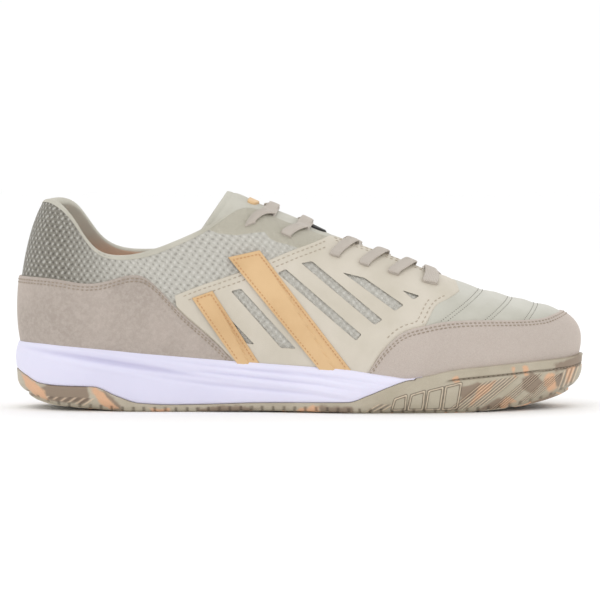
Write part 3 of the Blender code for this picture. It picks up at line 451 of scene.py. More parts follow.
def resample(line, count):
    """Evenly spaced points along a line."""
    line = np.asarray(line, float)
    run = run_lengths(line)
    at = np.linspace(0, run[-1], count)
    return np.column_stack([np.interp(at, run, column) for column in line.T])


def smooth_line(line, steps=6):
    """The line with its corners rounded by a curve through its points."""
    line = np.array(line)
    knots = np.arange(len(line))
    return curve_through(knots, line, np.linspace(0, len(line) - 1, steps * (len(line) - 1) + 1))


SIDE_SCALE = np.array((LENGTH, COLLAR_HEIGHT)) / MM


def distance_to_line(spots, line, closed=False):
    """Distance in mm of side-view spots from a line, and how far along it."""
    spots = np.asarray(spots) * SIDE_SCALE
    line = np.asarray(line, float) * SIDE_SCALE
    if closed:
        line = np.vstack([line, line[:1]])
    best = np.full(spots.shape[:-1], 1e9)
    along = np.zeros(spots.shape[:-1])
    run = 0.0
    for a, b in zip(line[:-1], line[1:]):
        edge = b - a
        size = np.linalg.norm(edge)
        if size < 1e-9:
            continue
        t = np.clip(((spots - a) @ edge) / size**2, 0, 1)
        gap = np.linalg.norm(spots - a - t[..., None] * edge, axis=-1)
        along = np.where(gap < best, run + t * size, along)
        best = np.minimum(best, gap)
        run += size
    return best, along / max(run, 1e-9)


def inside(spots, line):
    """Whether side-view spots lie inside a closed line."""
    spots = np.asarray(spots)
    line = np.asarray(line, float)
    result = np.zeros(spots.shape[:-1], bool)
    for a, b in zip(line, np.roll(line, -1, axis=0)):
        crosses = (a[1] > spots[..., 1]) != (b[1] > spots[..., 1])
        slope = (b[0] - a[0]) / (b[1] - a[1] if abs(b[1] - a[1]) > 1e-12 else 1e-12)
        result ^= crosses & (spots[..., 0] < a[0] + (spots[..., 1] - a[1]) * slope)
    return result


def signed_distance(spots, line):
    """Distance in mm inside a closed side-view line, negative outside."""
    gap, _ = distance_to_line(spots, line, closed=True)
    return np.where(inside(spots, line), gap, -gap)


def smooth_step(low, high, value):
    t = np.clip((value - low) / (high - low), 0, 1)
    return t * t * (3 - 2 * t)


def bell(value, width):
    return np.exp(-((value / width) ** 2))


def waves(points, size, seed):
    """Soft unevenness between -1 and 1, with features about size across."""
    random = np.random.default_rng(seed)
    total = np.zeros(points.shape[:-1])
    for _ in range(9):
        way = random.normal(size=3)
        way *= random.uniform(0.6, 1.5) / np.linalg.norm(way) * 2 * math.pi / size
        total += np.sin(points @ way + random.uniform(0, 2 * math.pi))
    return total / 4.5


# Meshes


def grid_faces(rows, columns, wrap=False):
    """Four-sided faces of a grid. wrap joins its last row to its first."""
    i = np.arange(rows if wrap else rows - 1)[:, None]
    j = np.arange(columns - 1)[None, :]
    after = (i + 1) % rows
    corners = (i * columns + j, after * columns + j, after * columns + j + 1, i * columns + j + 1)
    return np.stack(np.broadcast_arrays(*corners), axis=-1).reshape(-1, 4)


def border(rows, columns, wrap=False):
    """Edges round a grid, in the order of its faces."""
    if wrap:
        i = np.arange(rows)
        after = (i + 1) % rows
        low = np.column_stack([i, after]) * columns
        return np.vstack([low, low[:, ::-1] + columns - 1])
    edge = [i * columns for i in range(rows)]
    edge += [(rows - 1) * columns + j for j in range(1, columns)]
    edge += [i * columns + columns - 1 for i in range(rows - 2, -1, -1)]
    edge += [j for j in range(columns - 2, 0, -1)]
    return np.column_stack([edge, np.roll(edge, -1)])


def make_piece(name, points, faces, finish, values=None, sharp=40, body="root"):
    mesh = bpy.data.meshes.new(name)
    mesh.from_pydata(np.asarray(points).tolist(), [], [list(map(int, f)) for f in faces])
    for key, numbers in (values or {}).items():
        attribute = mesh.attributes.new(key, "FLOAT", "POINT")
        attribute.data.foreach_set("value", np.asarray(numbers, np.float32).ravel())
    piece = bpy.data.objects.new(name, mesh)
    bpy.context.scene.collection.objects.link(piece)
    mesh.materials.append(finish)
    mesh.shade_smooth()
    mesh.set_sharp_from_angle(angle=math.radians(sharp))
    if body:
        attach(piece, body)
    return piece


def slab(name, out, under, finish, wrap=False, values=None, **more):
    """Closed sheet between two matching grids of points."""
    rows, columns = out.shape[:2]
    start = rows * columns
    faces = grid_faces(rows, columns, wrap)
    edges = border(rows, columns, wrap)
    a, b = edges[:, 0], edges[:, 1]
    sides = np.column_stack([b, a, start + a, start + b])
    everything = np.vstack([faces, faces[:, ::-1] + start, sides])
    points = np.concatenate([out.reshape(-1, 3), under.reshape(-1, 3)])
    both = {key: np.tile(np.ravel(numbers), 2) for key, numbers in (values or {}).items()}
    return make_piece(name, points, everything, finish, both, **more)


def edge_material(piece, out, finish):
    """Gives the narrow faces round a slab a finish of their own."""
    piece.data.materials.append(finish)
    flat = 2 * (out.shape[0] - 1) * (out.shape[1] - 1)
    for face in piece.data.polygons[flat:]:
        face.material_index = 1


def tube(name, sections, finish, values=None, **more):
    """Closed tube through a row of sections, with its ends closed."""
    steps, around = sections.shape[:2]
    faces = []
    for face in grid_faces(around, steps, wrap=True):
        faces.append([(k % steps) * around + k // steps for k in face])
    faces.append(list(range(around)))
    faces.append([(steps - 1) * around + k for k in range(around)][::-1])
    return make_piece(name, sections.reshape(-1, 3), faces, finish, values, **more)


# Materials


class Finish:
    """Builds a material out of nodes with little writing."""

    def __init__(self, name, rough, **settings):
        self.material = bpy.data.materials.new(name)
        self.material.use_nodes = True
        self.tree = self.material.node_tree
        self.shader = self.tree.nodes["Principled BSDF"]
        self.shader.inputs["Roughness"].default_value = rough
        for key, value in settings.items():
            self.shader.inputs[key.replace("_", " ")].default_value = value

    def add(self, kind, inputs=None, output=0, **settings):
        node = self.tree.nodes.new("ShaderNode" + kind)
        for key, value in settings.items():
            setattr(node, key, value)
        for key, value in (inputs or {}).items():
            self.join(node.inputs[key], value)
        return node.outputs[output]

    def join(self, socket, value):
        if isinstance(value, bpy.types.NodeSocket):
            self.tree.links.new(value, socket)
        else:
            socket.default_value = value

    def where(self):
        return self.add("TexCoord", output="Object")

    def axis(self, letter):
        return self.add("SeparateXYZ", {"Vector": self.where()}, letter)

    def value(self, name):
        return self.add("Attribute", output="Fac", attribute_name=name)

    def scaled(self, factors, turn=(0, 0, 0)):
        inputs = {"Vector": self.where(), "Scale": factors, "Rotation": turn}
        return self.add("Mapping", inputs)

    def noise(self, scale, detail=3.0, rough=0.55, vector=None, distortion=0.0):
        inputs = {
            "Vector": vector or self.where(), "Scale": scale, "Detail": detail,
            "Roughness": rough, "Distortion": distortion,
        }
        return self.add("TexNoise", inputs)

    def cells(self, scale):
        return self.add("TexVoronoi", {"Vector": self.where(), "Scale": scale}, "Distance")

    def math(self, operation, a, b=0.0):
        node = self.tree.nodes.new("ShaderNodeMath")
        node.operation = operation
        self.join(node.inputs[0], a)
        self.join(node.inputs[1], b)
        return node.outputs[0]

    def times(self, a, b):
        return self.math("MULTIPLY", a, b)

    def plus(self, a, b):
        return self.math("ADD", a, b)

    def less(self, a, b):
        return self.math("SUBTRACT", a, b)

    def range(self, value, low, high, to_low=0.0, to_high=1.0, smooth=True):
        inputs = {"Value": value, "From Min": low, "From Max": high, "To Min": to_low, "To Max": to_high}
        return self.add("MapRange", inputs, interpolation_type="SMOOTHSTEP" if smooth else "LINEAR")

    def mix(self, factor, a, b, blend="MIX"):
        node = self.tree.nodes.new("ShaderNodeMix")
        node.data_type = "RGBA"
        node.blend_type = blend
        self.join(node.inputs[0], factor)
        self.join(node.inputs[6], a)
        self.join(node.inputs[7], b)
        return node.outputs[2]

    def tint(self, base, value, low, high, share, other):
        """Mixes in up to this share of a colour while value goes from low to high."""
        return self.mix(self.range(value, low, high, 0.0, share), base, other)

    def between(self, factor, a, b):
        """A number from a to b."""
        inputs = {0: factor, 2: a, 3: b}
        return self.add("Mix", inputs, data_type="FLOAT")

    def combine(self, x, y, z=0.0):
        return self.add("CombineXYZ", {"X": x, "Y": y, "Z": z})

    def bump(self, height, distance, strength=1.0, normal=None):
        inputs = {"Height": height, "Distance": distance, "Strength": strength}
        if normal is not None:
            inputs["Normal"] = normal
        return self.add("Bump", inputs)

    def done(self, colour, rough=None, normal=None):
        self.join(self.shader.inputs["Base Color"], colour)
        if rough is not None:
            self.join(self.shader.inputs["Roughness"], rough)
        if normal is not None:
            self.join(self.shader.inputs["Normal"], normal)
        return self.material


def colour(red, green, blue):
    """A photo's colour, from 0 to 255, as a linear colour."""
    channels = []
    for channel in (red, green, blue):
        c = channel / 255
        channels.append(c / 12.92 if c <= 0.04045 else ((c + 0.055) / 1.055) ** 2.4)
    return (*channels, 1.0)


def suede_finish():
    f = Finish("suede_nap", 0.95, Sheen_Weight=0.35, Sheen_Roughness=0.5, Specular_IOR_Level=0.15)
    f.shader.inputs["Sheen Tint"].default_value = colour(225, 215, 205)
    cloud = f.noise(30, 3, 0.5)
    brushed = f.noise(420, 4, 0.7, distortion=0.4)
    fibre = f.noise(2600, 2, 0.6)
    base = f.mix(f.range(cloud, 0.3, 0.7), colour(168, 157, 148), colour(184, 172, 163))
    fore = f.range(f.axis("X"), -0.02, 0.06)
    base = f.mix(fore, base, f.mix(0.6, base, colour(208, 196, 187)))
    base = f.tint(base, brushed, 0.35, 0.7, 0.5, colour(199, 189, 180))
    base = f.tint(base, fibre, 0.3, 0.75, 0.35, colour(156, 145, 137))
    normal = f.bump(fibre, 0.00022, 0.5)
    normal = f.bump(brushed, 0.0005, 0.25, normal)
    return f.done(base, None, normal)


def leather_finish(name, low, high, rough, grain=1500, depth=0.00012, coat=0.05):
    f = Finish(name, rough, Coat_Weight=coat, Coat_Roughness=0.35, Specular_IOR_Level=0.4)
    cloud = f.noise(30, 4, 0.55)
    pores = f.cells(grain)
    fine = f.noise(3000, 3, 0.6)
    base = f.mix(f.range(cloud, 0.3, 0.7), low, high)
    base = f.mix(f.range(pores, 0.0, 0.25, 0.12, 0.0), base, tuple(c * 0.55 for c in low[:3]) + (1,))
    normal = f.bump(f.plus(pores, f.times(fine, 0.4)), depth, 0.45)
    return f.done(base, f.range(cloud, 0.3, 0.7, rough - 0.05, rough + 0.06), normal)


def knit_finish():
    f = Finish("knitted_mesh", 0.55, Sheen_Weight=0.1, Specular_IOR_Level=0.5)
    u, v = f.value("along"), f.value("up")

    def on_knit(across, up, detail=2, rough=0.5):
        spot = f.combine(f.times(u, across), f.times(v, up))
        return f.noise(1, detail, rough, spot)

    warp = f.less(on_knit(0.30, 0.30), 0.5)
    jitter = f.less(on_knit(1.1, 1.1), 0.5)
    sway = f.plus(f.times(warp, 3.0), f.times(jitter, 1.3))
    u2, v2 = f.plus(u, sway), f.plus(v, f.times(sway, 0.6))
    p = f.math("COSINE", f.times(u2, 2 * math.pi / KNIT_PITCH[0]))
    q = f.math("COSINE", f.times(v2, 2 * math.pi / KNIT_PITCH[1]))
    strand = on_knit(1.5, 3.4)
    dots = f.plus(f.times(p, q), f.times(f.less(strand, 0.5), 0.9))
    speck = on_knit(3.6, 3.6, 3, 0.7)
    glint = f.range(speck, 0.58, 0.70)
    # Painted light on the knit, with more contrast at the back of the heel: painted shade in the gaps between
    # the dots and over the heel's back, painted highlights on the dot tops and painted glints
    x = f.axis("X")
    heel = f.range(x, -0.126, -0.080, 1.0, 0.0)
    fore = f.range(x, -0.040, -0.010)
    shaded_gaps = f.range(dots, -0.95, -0.35, 1.0, 0.0)
    shine = f.range(dots, 0.25, 0.95)
    silver = f.mix(f.range(speck, 0.35, 0.65), colour(182, 179, 169), colour(203, 200, 192))
    # Painted highlight on the tops of the dots
    silver = f.mix(f.times(shine, f.between(heel, 0.45, 0.8)), silver, colour(226, 224, 217))
    depth = f.less(f.between(heel, 0.52, 0.85), f.times(fore, 0.27))
    # Painted shade in the gaps between the dots
    silver = f.mix(f.times(shaded_gaps, depth), silver, colour(118, 113, 103))
    # Painted shade, darkening the knit towards the back of the heel
    silver = f.mix(f.times(heel, 0.85), silver, colour(146, 142, 132), "MULTIPLY")
    # More painted highlight on the dot tops at the heel
    silver = f.mix(f.times(f.times(shine, heel), 0.42), silver, colour(220, 218, 211))
    # Painted glints on the specks
    silver = f.mix(f.times(glint, f.between(heel, 0.6, 0.55)), silver, colour(243, 242, 238))
    weave = f.math("SINE", f.times(f.plus(u2, v2), 6.4))
    cross = f.math("SINE", f.times(f.less(u2, v2), 6.4))
    fine = f.times(weave, cross)
    olive = f.mix(f.range(fine, -0.5, 0.5), colour(182, 176, 158), colour(206, 201, 185))
    olive = f.tint(olive, speck, 0.35, 0.7, 0.4, colour(212, 207, 193))
    zone = f.range(f.value("olive"), -0.25, 0.25)
    base = f.mix(zone, silver, olive)
    raised = f.plus(f.times(dots, 0.55), f.times(speck, 0.40))
    height = f.between(zone, raised, f.times(fine, 0.30))
    normal = f.bump(height, 0.0006, 0.8)
    rough = f.range(shine, 0.0, 1.0, 0.60, 0.36)
    return f.done(base, f.between(zone, rough, 0.85), normal)


def textile_finish(name, low, high, pitch=0.55, rough=0.85, insole_bounce=False):
    f = Finish(name, rough, Sheen_Weight=0.2, Sheen_Roughness=0.5, Specular_IOR_Level=0.25)
    size = 2 * math.pi / (pitch * MM)
    x = f.axis("X")
    z = f.axis("Z")
    y = f.axis("Y")
    rows = f.math("SINE", f.times(f.plus(x, y), size))
    columns = f.math("SINE", f.times(f.plus(z, f.times(y, 0.5)), size))
    weave = f.times(rows, columns)
    cloud = f.noise(50, 4)
    base = f.mix(f.range(cloud, 0.3, 0.7), low, high)
    base = f.mix(f.range(weave, -1, 1, 0.14, 0.0), base, tuple(c * 0.6 for c in low[:3]) + (1,))
    if insole_bounce:
        # Painted reflected light: low inside the shoe the cloth takes on the colour of the insole, as light
        # bounced off the insole
        bounce_tint = f.times(f.range(z, 0.070, 0.090, 0.75, 0.0), f.value("inside"))
        base = f.mix(bounce_tint, base, colour(232, 176, 136))
    normal = f.bump(weave, 0.0001, 0.5)
    return f.done(base, None, normal)


def lace_finish():
    f = Finish("woven_lace", 0.9, Sheen_Weight=0.25, Sheen_Roughness=0.5, Specular_IOR_Level=0.2)
    u, v = f.value("along"), f.value("across")
    herring = f.math("ABSOLUTE", v)
    line = f.math("SINE", f.times(f.plus(u, herring), 2 * math.pi / 0.75))
    wale = f.math("SINE", f.times(v, 2 * math.pi / 0.62))
    weave = f.plus(f.times(line, 0.6), f.times(wale, 0.4))
    base = f.mix(f.range(weave, -0.9, 0.6), colour(176, 166, 155), colour(212, 203, 192))
    base = f.tint(base, f.noise(90), 0.35, 0.7, 0.25, colour(190, 180, 169))
    return f.done(base, None, f.bump(weave, 0.00018, 0.7))


def thread_finish(name, low, high):
    f = Finish(name, 0.6, Specular_IOR_Level=0.4)
    twist = f.noise(2500, 2, 0.5)
    return f.done(f.mix(twist, low, high), None, f.bump(twist, 0.0001, 0.5))


def foam_finish():
    f = Finish("moulded_foam", 0.42, Subsurface_Weight=0.08, Specular_IOR_Level=0.45)
    f.shader.inputs["Subsurface Radius"].default_value = (0.004, 0.003, 0.003)
    cloud = f.noise(14, 4, 0.5)
    skin = f.noise(1400, 3, 0.6)
    base = f.mix(f.range(cloud, 0.3, 0.7), colour(220, 218, 238), colour(229, 227, 245))
    low = f.range(f.axis("Z"), 0.0, 0.012, 0.3, 0.0)
    base = f.mix(low, base, colour(212, 209, 228))
    # Painted shade in the creases of the midsole
    base = f.tint(base, f.value("crease_shade"), 0.1, 1.3, 0.55, colour(188, 184, 214))
    return f.done(base, f.range(skin, 0.3, 0.7, 0.38, 0.50), f.bump(skin, 0.00008, 0.3))


def rubber_finish():
    f = Finish("marbled_rubber", 0.55, Specular_IOR_Level=0.4)
    stretched = f.scaled((26, 30, 60), (0, 0.5, 0.25))
    drift = f.noise(1.0, 4, 0.6, stretched, 0.8)
    stains = f.noise(1.0, 3, 0.55, f.scaled((34, 26, 90), (0.2, -0.4, 0.1)), 1.2)
    grit = f.noise(1800, 2, 0.6)
    wobble = f.times(f.less(f.noise(130, 5), 0.5), 5.5)
    olive = f.mix(f.range(f.noise(40), 0.3, 0.7), colour(178, 168, 148), colour(190, 181, 162))
    brown = f.range(f.plus(f.value("brown"), wobble), -0.9, 0.9)
    peach = f.range(f.plus(f.value("peach"), wobble), -0.8, 0.8)
    under = f.value("tread")
    brown_below = f.times(f.range(drift, 0.53, 0.56), under)
    peach_below = f.times(f.range(stains, 0.57, 0.60), under)
    base = f.mix(f.math("MAXIMUM", brown, brown_below), olive, colour(146, 129, 112))
    base = f.mix(f.math("MAXIMUM", peach, peach_below), base, colour(220, 176, 141))
    base = f.tint(base, grit, 0.3, 0.8, 0.12, colour(120, 108, 94))
    # Painted highlight on thin ribs between valleys of painted shade, and thin frames with a painted
    # highlight along their line and painted shade at their foot
    wave = f.math("COSINE", f.times(f.value("phase"), 2 * math.pi))
    ribs = f.value("ribs")
    valley_shade = f.times(f.range(wave, 0.2, -0.9), ribs)
    crest = f.times(f.range(wave, 0.3, 0.9), ribs)
    base = f.mix(f.times(valley_shade, 0.55), base, colour(108, 92, 78))
    base = f.mix(f.times(crest, 0.55), base, colour(232, 206, 178))
    frames = f.value("frames")
    line = f.range(frames, 0.42, 0.22)
    foot = f.times(f.range(frames, 0.95, 0.55), f.range(frames, 0.30, 0.45))
    base = f.mix(f.times(foot, 0.75), base, colour(96, 84, 70))
    base = f.mix(f.times(line, 0.8), base, colour(224, 206, 182))
    # Painted shade in the small notches along the lower edge and in the grooves
    base = f.mix(f.times(f.value("notch"), 0.6), base, colour(92, 80, 68))
    groove = f.range(f.value("groove"), 0.0, 1.0, 0.0, 0.8, smooth=False)
    base = f.mix(groove, base, colour(84, 74, 62))
    raised = f.plus(f.times(f.times(wave, ribs), 0.5), line)
    normal = f.bump(raised, 0.0005, 0.9)
    return f.done(base, f.range(grit, 0.3, 0.8, 0.48, 0.62), f.bump(grit, 0.00012, 0.4, normal))


def insole_finish():
    f = Finish("insole_fabric", 0.9, Sheen_Weight=0.3, Sheen_Roughness=0.5, Specular_IOR_Level=0.2)
    nap = f.noise(1800, 3, 0.6)
    base = f.mix(f.range(f.noise(60), 0.3, 0.7), colour(206, 150, 108), colour(222, 168, 126))
    base = f.tint(base, nap, 0.3, 0.7, 0.3, colour(170, 118, 84))
    return f.done(base, None, f.bump(nap, 0.00015, 0.5))


def floor_finish():
    f = Finish("studio_floor", 0.9, Specular_IOR_Level=0.1)
    base = f.mix(f.noise(3), colour(254, 254, 254), colour(255, 255, 255))
    return f.done(base)


KNIT_PITCH = (3.9, 4.6)
SUEDE = suede_finish()
VAMP = leather_finish("vamp_leather", colour(186, 184, 172), colour(200, 198, 187), 0.42, 1300)
QUARTER = leather_finish("coated_quarter", colour(199, 191, 175), colour(211, 203, 189), 0.62, 2200, 0.00008)
SADDLE = leather_finish("tan_leather", colour(208, 171, 124), colour(221, 186, 140), 0.50, 1700)
CUT_EDGE = leather_finish("cut_edge", colour(158, 149, 133), colour(172, 163, 147), 0.8, 2200)
TAN_EDGE = leather_finish("tan_cut_edge", colour(120, 88, 60), colour(150, 112, 78), 0.7, 2200)
KNIT = knit_finish()
LINING = textile_finish("collar_textile", colour(190, 186, 172), colour(203, 199, 186), insole_bounce=True)
TONGUE_TEXTILE = textile_finish("tongue_textile", colour(199, 196, 183), colour(210, 207, 195), 0.4, 0.7)
KEEPER = textile_finish("keeper_webbing", colour(38, 36, 36), colour(58, 55, 54), 0.7, 0.8)
LACE = lace_finish()
FOAM = foam_finish()
RUBBER = rubber_finish()
INSOLE = insole_finish()
THREAD = thread_finish("brown_thread", colour(150, 136, 120), colour(170, 156, 140))
PALE_THREAD = thread_finish("beige_thread", colour(168, 156, 138), colour(188, 176, 158))
TAN_THREAD = thread_finish("tan_thread", colour(190, 142, 96), colour(208, 160, 112))
HOLES = thread_finish("needle_holes", colour(120, 116, 106), colour(134, 130, 120))


# Upper


def column_arcs(places, t):
    """Length along each section's curve, in mm, at the shares t."""
    line = upper_points(places, t)
    steps = np.linalg.norm(np.diff(line, axis=1), axis=2)
    return np.concatenate([np.zeros((len(line), 1)), np.cumsum(steps, axis=1)], axis=1) / MM


def run_round(places, t=0.5):
    """Length round the upper, in mm, from the first place."""
    return run_lengths(upper_points(places, [t])[:, 0]) / MM


def shares_below_edge(arcs, t, gap):
    """Curve share of each column at this distance in mm below its upper end."""
    t = np.broadcast_to(t, arcs.shape)
    gap = np.broadcast_to(gap, len(arcs))
    return np.array([np.interp(-gap[k], row - row[-1], t[k]) for k, row in enumerate(arcs)])


OLIVE_ZONE = [*OLIVE_EDGE, (0.700, 0.700), (0.700, 1.100), (0.325, 1.100)]


def build_knit():
    places = np.linspace(FRONT_INNER - 1.0, FRONT_OUTER, 520)
    t = np.linspace(0, 1, 66)
    points = upper_points(places, t)
    up = column_arcs(places, t)
    along = np.broadcast_to(run_round(places)[:, None], up.shape)
    view = side_view(points)
    olive = signed_distance(view, OLIVE_ZONE)
    silver = 1 - smooth_step(-0.4, 0.4, olive)
    edge = smooth_step(0.0, 3.5, up[:, -1:] - up)
    soft = (0.10 * silver + 0.12) * edge * MM * waves(points, 0.03, 3)
    # Ahead of the ball the knit lies under the panel only, and then dips below the leather
    panel = signed_distance(view, quarter_outline())
    place = (places % 1.0)[:, None]
    ahead = smooth_step(0.002, 0.010, place - BALL_OUTER) * (place < 0.5)
    behind = smooth_step(0.002, 0.010, BALL_INNER - place) * (place > 0.5)
    covered = (ahead + behind) * smooth_step(3.5, 2.5, panel)
    height = np.clip(soft, -1, 0.28 * MM) * (1 - covered) - DIP * covered
    out = upper_shell(places, t, height)
    under = upper_shell(places, t, -SHEET_THICKNESS)
    piece = slab("upper_knit", out, under, KNIT, values={"along": along, "up": up, "olive": olive})
    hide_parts("upper")


def quilt_gap(points):
    """Signed distance in mm from each quilting seam, over the forefoot."""
    x, z = points[..., 0], points[..., 2]
    gaps = []
    for crown, height, slope in QUILTS:
        seam = x_of(crown) - slope * (height * COLLAR_HEIGHT - z)
        gaps.append((x - seam) / math.hypot(1, slope) / MM)
    return gaps


def vamp_out(points):
    """How far the quilted forefoot stands out at these points."""
    gaps = quilt_gap(points)
    nearest = np.min([np.abs(gap) for gap in gaps], axis=0)
    out = 0.75 * MM * (1 - bell(nearest, 5.5))
    for gap in gaps:
        for shift in QUILT_ROWS:
            out -= 0.28 * MM * bell(gap - shift, 0.55)
    # The last quilt before the toe guard is the fullest on its crown
    x, height, width = LAST_QUILT
    crown = smooth_step(height - 0.0025, height + 0.0025, points[..., 2])
    out += 0.7 * MM * bell((points[..., 0] - x) / MM, width / MM) * crown
    return out - 0.15 * MM + 0.12 * MM * waves(points, 0.022, 5)


def build_vamp():
    places = np.linspace(BALL_OUTER - 0.004, BALL_INNER + 0.004, 300)
    t = np.linspace(0, 1, 86)
    points = upper_points(places, t)
    arcs = column_arcs(places, t)
    calm = smooth_step(0.0, 4.0, arcs[:, -1:] - arcs)
    sunk = smooth_step(2.5, 3.5, signed_distance(side_view(points), quarter_outline()))
    height = vamp_out(points) * (0.35 + 0.65 * calm)
    out = upper_shell(places, t, height * (1 - sunk) - DIP * sunk)
    piece = slab("vamp", out, upper_shell(places, t, -SHEET_THICKNESS), VAMP)
    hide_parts("upper")


def build_lining():
    """Padded textile from the collar's binding over the edge and down inside."""
    places = np.linspace(0, 1, 301)[:-1]
    fine = np.linspace(0, 1, 161)
    arcs = column_arcs(places, fine)
    crest = np.array([1.0])
    collar = smooth_step(0.42, 0.34, share_of_length(section_controls(places)[3][:, 0]))
    binding = collar + 0.4
    rows = []
    for back in (1.0, 0.93, 0.8, 0.6, 0.4, 0.2, 0.0):
        t = shares_below_edge(arcs, fine, binding * back)
        swell = math.sin(math.pi * min(1.0, (1 - back) * 1.1 + 0.12)) ** 0.5
        rise = (0.05 + 0.20 * collar * swell) * MM
        rows.append(upper_shell(places, t[:, None], rise[:, None])[:, 0])
    wall = wall_at(places, crest)[:, 0]
    normal = upper_normals(places, crest)[:, 0]
    edge = upper_points(places, crest)[:, 0]
    lift = edge - upper_points(places, crest - 0.02)[:, 0]
    lift /= np.linalg.norm(lift, axis=1)[:, None]
    turns = np.linspace(0.12, 0.88, 7) * math.pi
    for angle in turns:
        inward = wall * (1 - math.cos(angle)) / 2
        rows.append(edge - normal * inward[:, None] + lift * (0.26 * wall * math.sin(angle))[:, None])
    inside_from = len(rows)
    for t in np.concatenate([np.linspace(1, 0.5, 18), np.linspace(0.45, 0.02, 12)]):
        column = np.array([t])
        rows.append(upper_shell(places, column, -wall_at(places, column))[:, 0])
    rows.append(ring(places, -(RIM_WALL + GAP + UPPER_WALL), lambda x: sole_height("bed", x) + GAP))
    out = np.stack(rows, axis=1)
    # The other face of the lining, inside the wall
    facing = np.cross(np.roll(out, -1, axis=0) - np.roll(out, 1, axis=0), np.gradient(out, axis=1))
    facing /= np.maximum(np.linalg.norm(facing, axis=2), 1e-12)[:, :, None]
    out = out + facing * (0.10 * MM * waves(out, 0.02, 11))[:, :, None]
    under = out - facing * 0.7 * MM
    # inside marks the rows within the shoe, which get the painted reflected light of the insole
    shown_inside = np.zeros(out.shape[:2])
    shown_inside[:, inside_from:] = 1.0
    piece = slab("collar_lining", out, under, LINING, wrap=True, values={"inside": shown_inside})
    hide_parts("upper")


# Overlays

# Rows near a cut edge, as distances from it in mm
EDGE_STEPS = np.array((
    0, 0.07, 0.18, 0.35, 0.6, 0.95, 1.3, 1.55, 1.8,
    2.05, 2.4, 2.8, 3.1, 3.4, 3.8, 4.4, 5.2,
))


def round_over(gap, width):
    """From 0 at a cut edge to 1 at this width from it, like a quarter circle."""
    return np.sqrt(np.clip(1 - (1 - np.clip(gap / width, 0, 1)) ** 2, 0, 1))


def rounded_edge(gap, thick, seams=SUEDE_SEAMS, press=0.14):
    """Height over the surface at a distance in mm from a cut edge."""
    height = thick * (0.30 + 0.70 * round_over(gap, 0.9))
    for seam in seams:
        height = height - press * MM * bell(gap - seam, SEAM_WIDTH)
    return height


def columns_between(places, low, high, rows):
    """Curve shares of each column from its lower to its upper end, with close
    rows at the upper end. low and high are shares too."""
    fine = np.linspace(-0.03, 1.0, 260)
    arcs = column_arcs(places, fine)
    result = np.zeros((len(places), rows))
    for k in range(len(places)):
        a, b = np.interp([low[k], high[k]], fine, arcs[k])
        long = b - a
        near = EDGE_STEPS * min(1.0, long / 9)
        rest = np.linspace(near[-1], long, rows - len(near) + 1)[1:]
        down = np.concatenate([near, rest])
        result[k] = np.interp(b - down, arcs[k], fine)
    return result[:, ::-1]


def crossing(places, line):
    """Share of each section's curve at which it passes above a side-view line."""
    line = smooth_line(line, 8)
    fine = np.linspace(-0.02, 0.9, 460)
    view = side_view(upper_points(places, fine))
    above = view[..., 1] - np.interp(view[..., 0], line[:, 0], line[:, 1])
    result = np.zeros(len(places))
    for k, row in enumerate(above):
        first = int(np.argmax(row > 0))
        if first == 0:
            result[k] = fine[0]
            continue
        share = -row[first - 1] / (row[first] - row[first - 1])
        result[k] = fine[first - 1] + share * (fine[first] - fine[first - 1])
    return result


def build_suede(name, node, line, start, end, seed):
    """One suede overlay, under a line in the side view and round one end."""
    low = -0.012
    fine = np.linspace(start, end, 3000)
    covered = fine[crossing(fine, line) > -low]
    places = np.linspace(covered[0], covered[-1], 250)
    t = columns_between(places, np.full(len(places), low), crossing(places, line), 44)
    arcs = column_arcs(places, t)
    points = upper_points(places, t)
    height = rounded_edge(arcs[:, -1:] - arcs, SUEDE_THICKNESS) + 0.10 * MM * waves(points, 0.03, seed)
    out = upper_shell(places, t, height)
    piece = slab(name, out, upper_shell(places, t, -0.1 * MM), SUEDE)
    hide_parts(node)
    for seam in SUEDE_SEAMS:
        spot = shares_below_edge(arcs, t, seam)
        stitch_on("suede", places, spot, SUEDE_THICKNESS - 0.10 * MM)


def quarter_outline():
    top = smooth_line(QUARTER_TOP[:8], 6)
    front = smooth_line(QUARTER_FRONT + QUARTER_FOOT[:3], 6)
    return np.vstack([top, [(0.760, 0.760)], front, QUARTER_FOOT[3:4], smooth_line(QUARTER_BACK, 6)[:-1]])


def ends_within(row, shares):
    """The shares at which a row first and last crosses zero, going in and out."""
    held = np.flatnonzero(row > 0)
    if len(held) == 0:
        held = np.array([row.argmax()])
    a, b = held[0], held[-1]
    low, high = shares[a], shares[b]
    if a > 0:
        low = np.interp(0, [row[a - 1], row[a]], [shares[a - 1], shares[a]])
    if b < len(shares) - 1:
        high = np.interp(0, [row[b + 1], row[b]], [shares[b + 1], shares[b]])
    return low, high


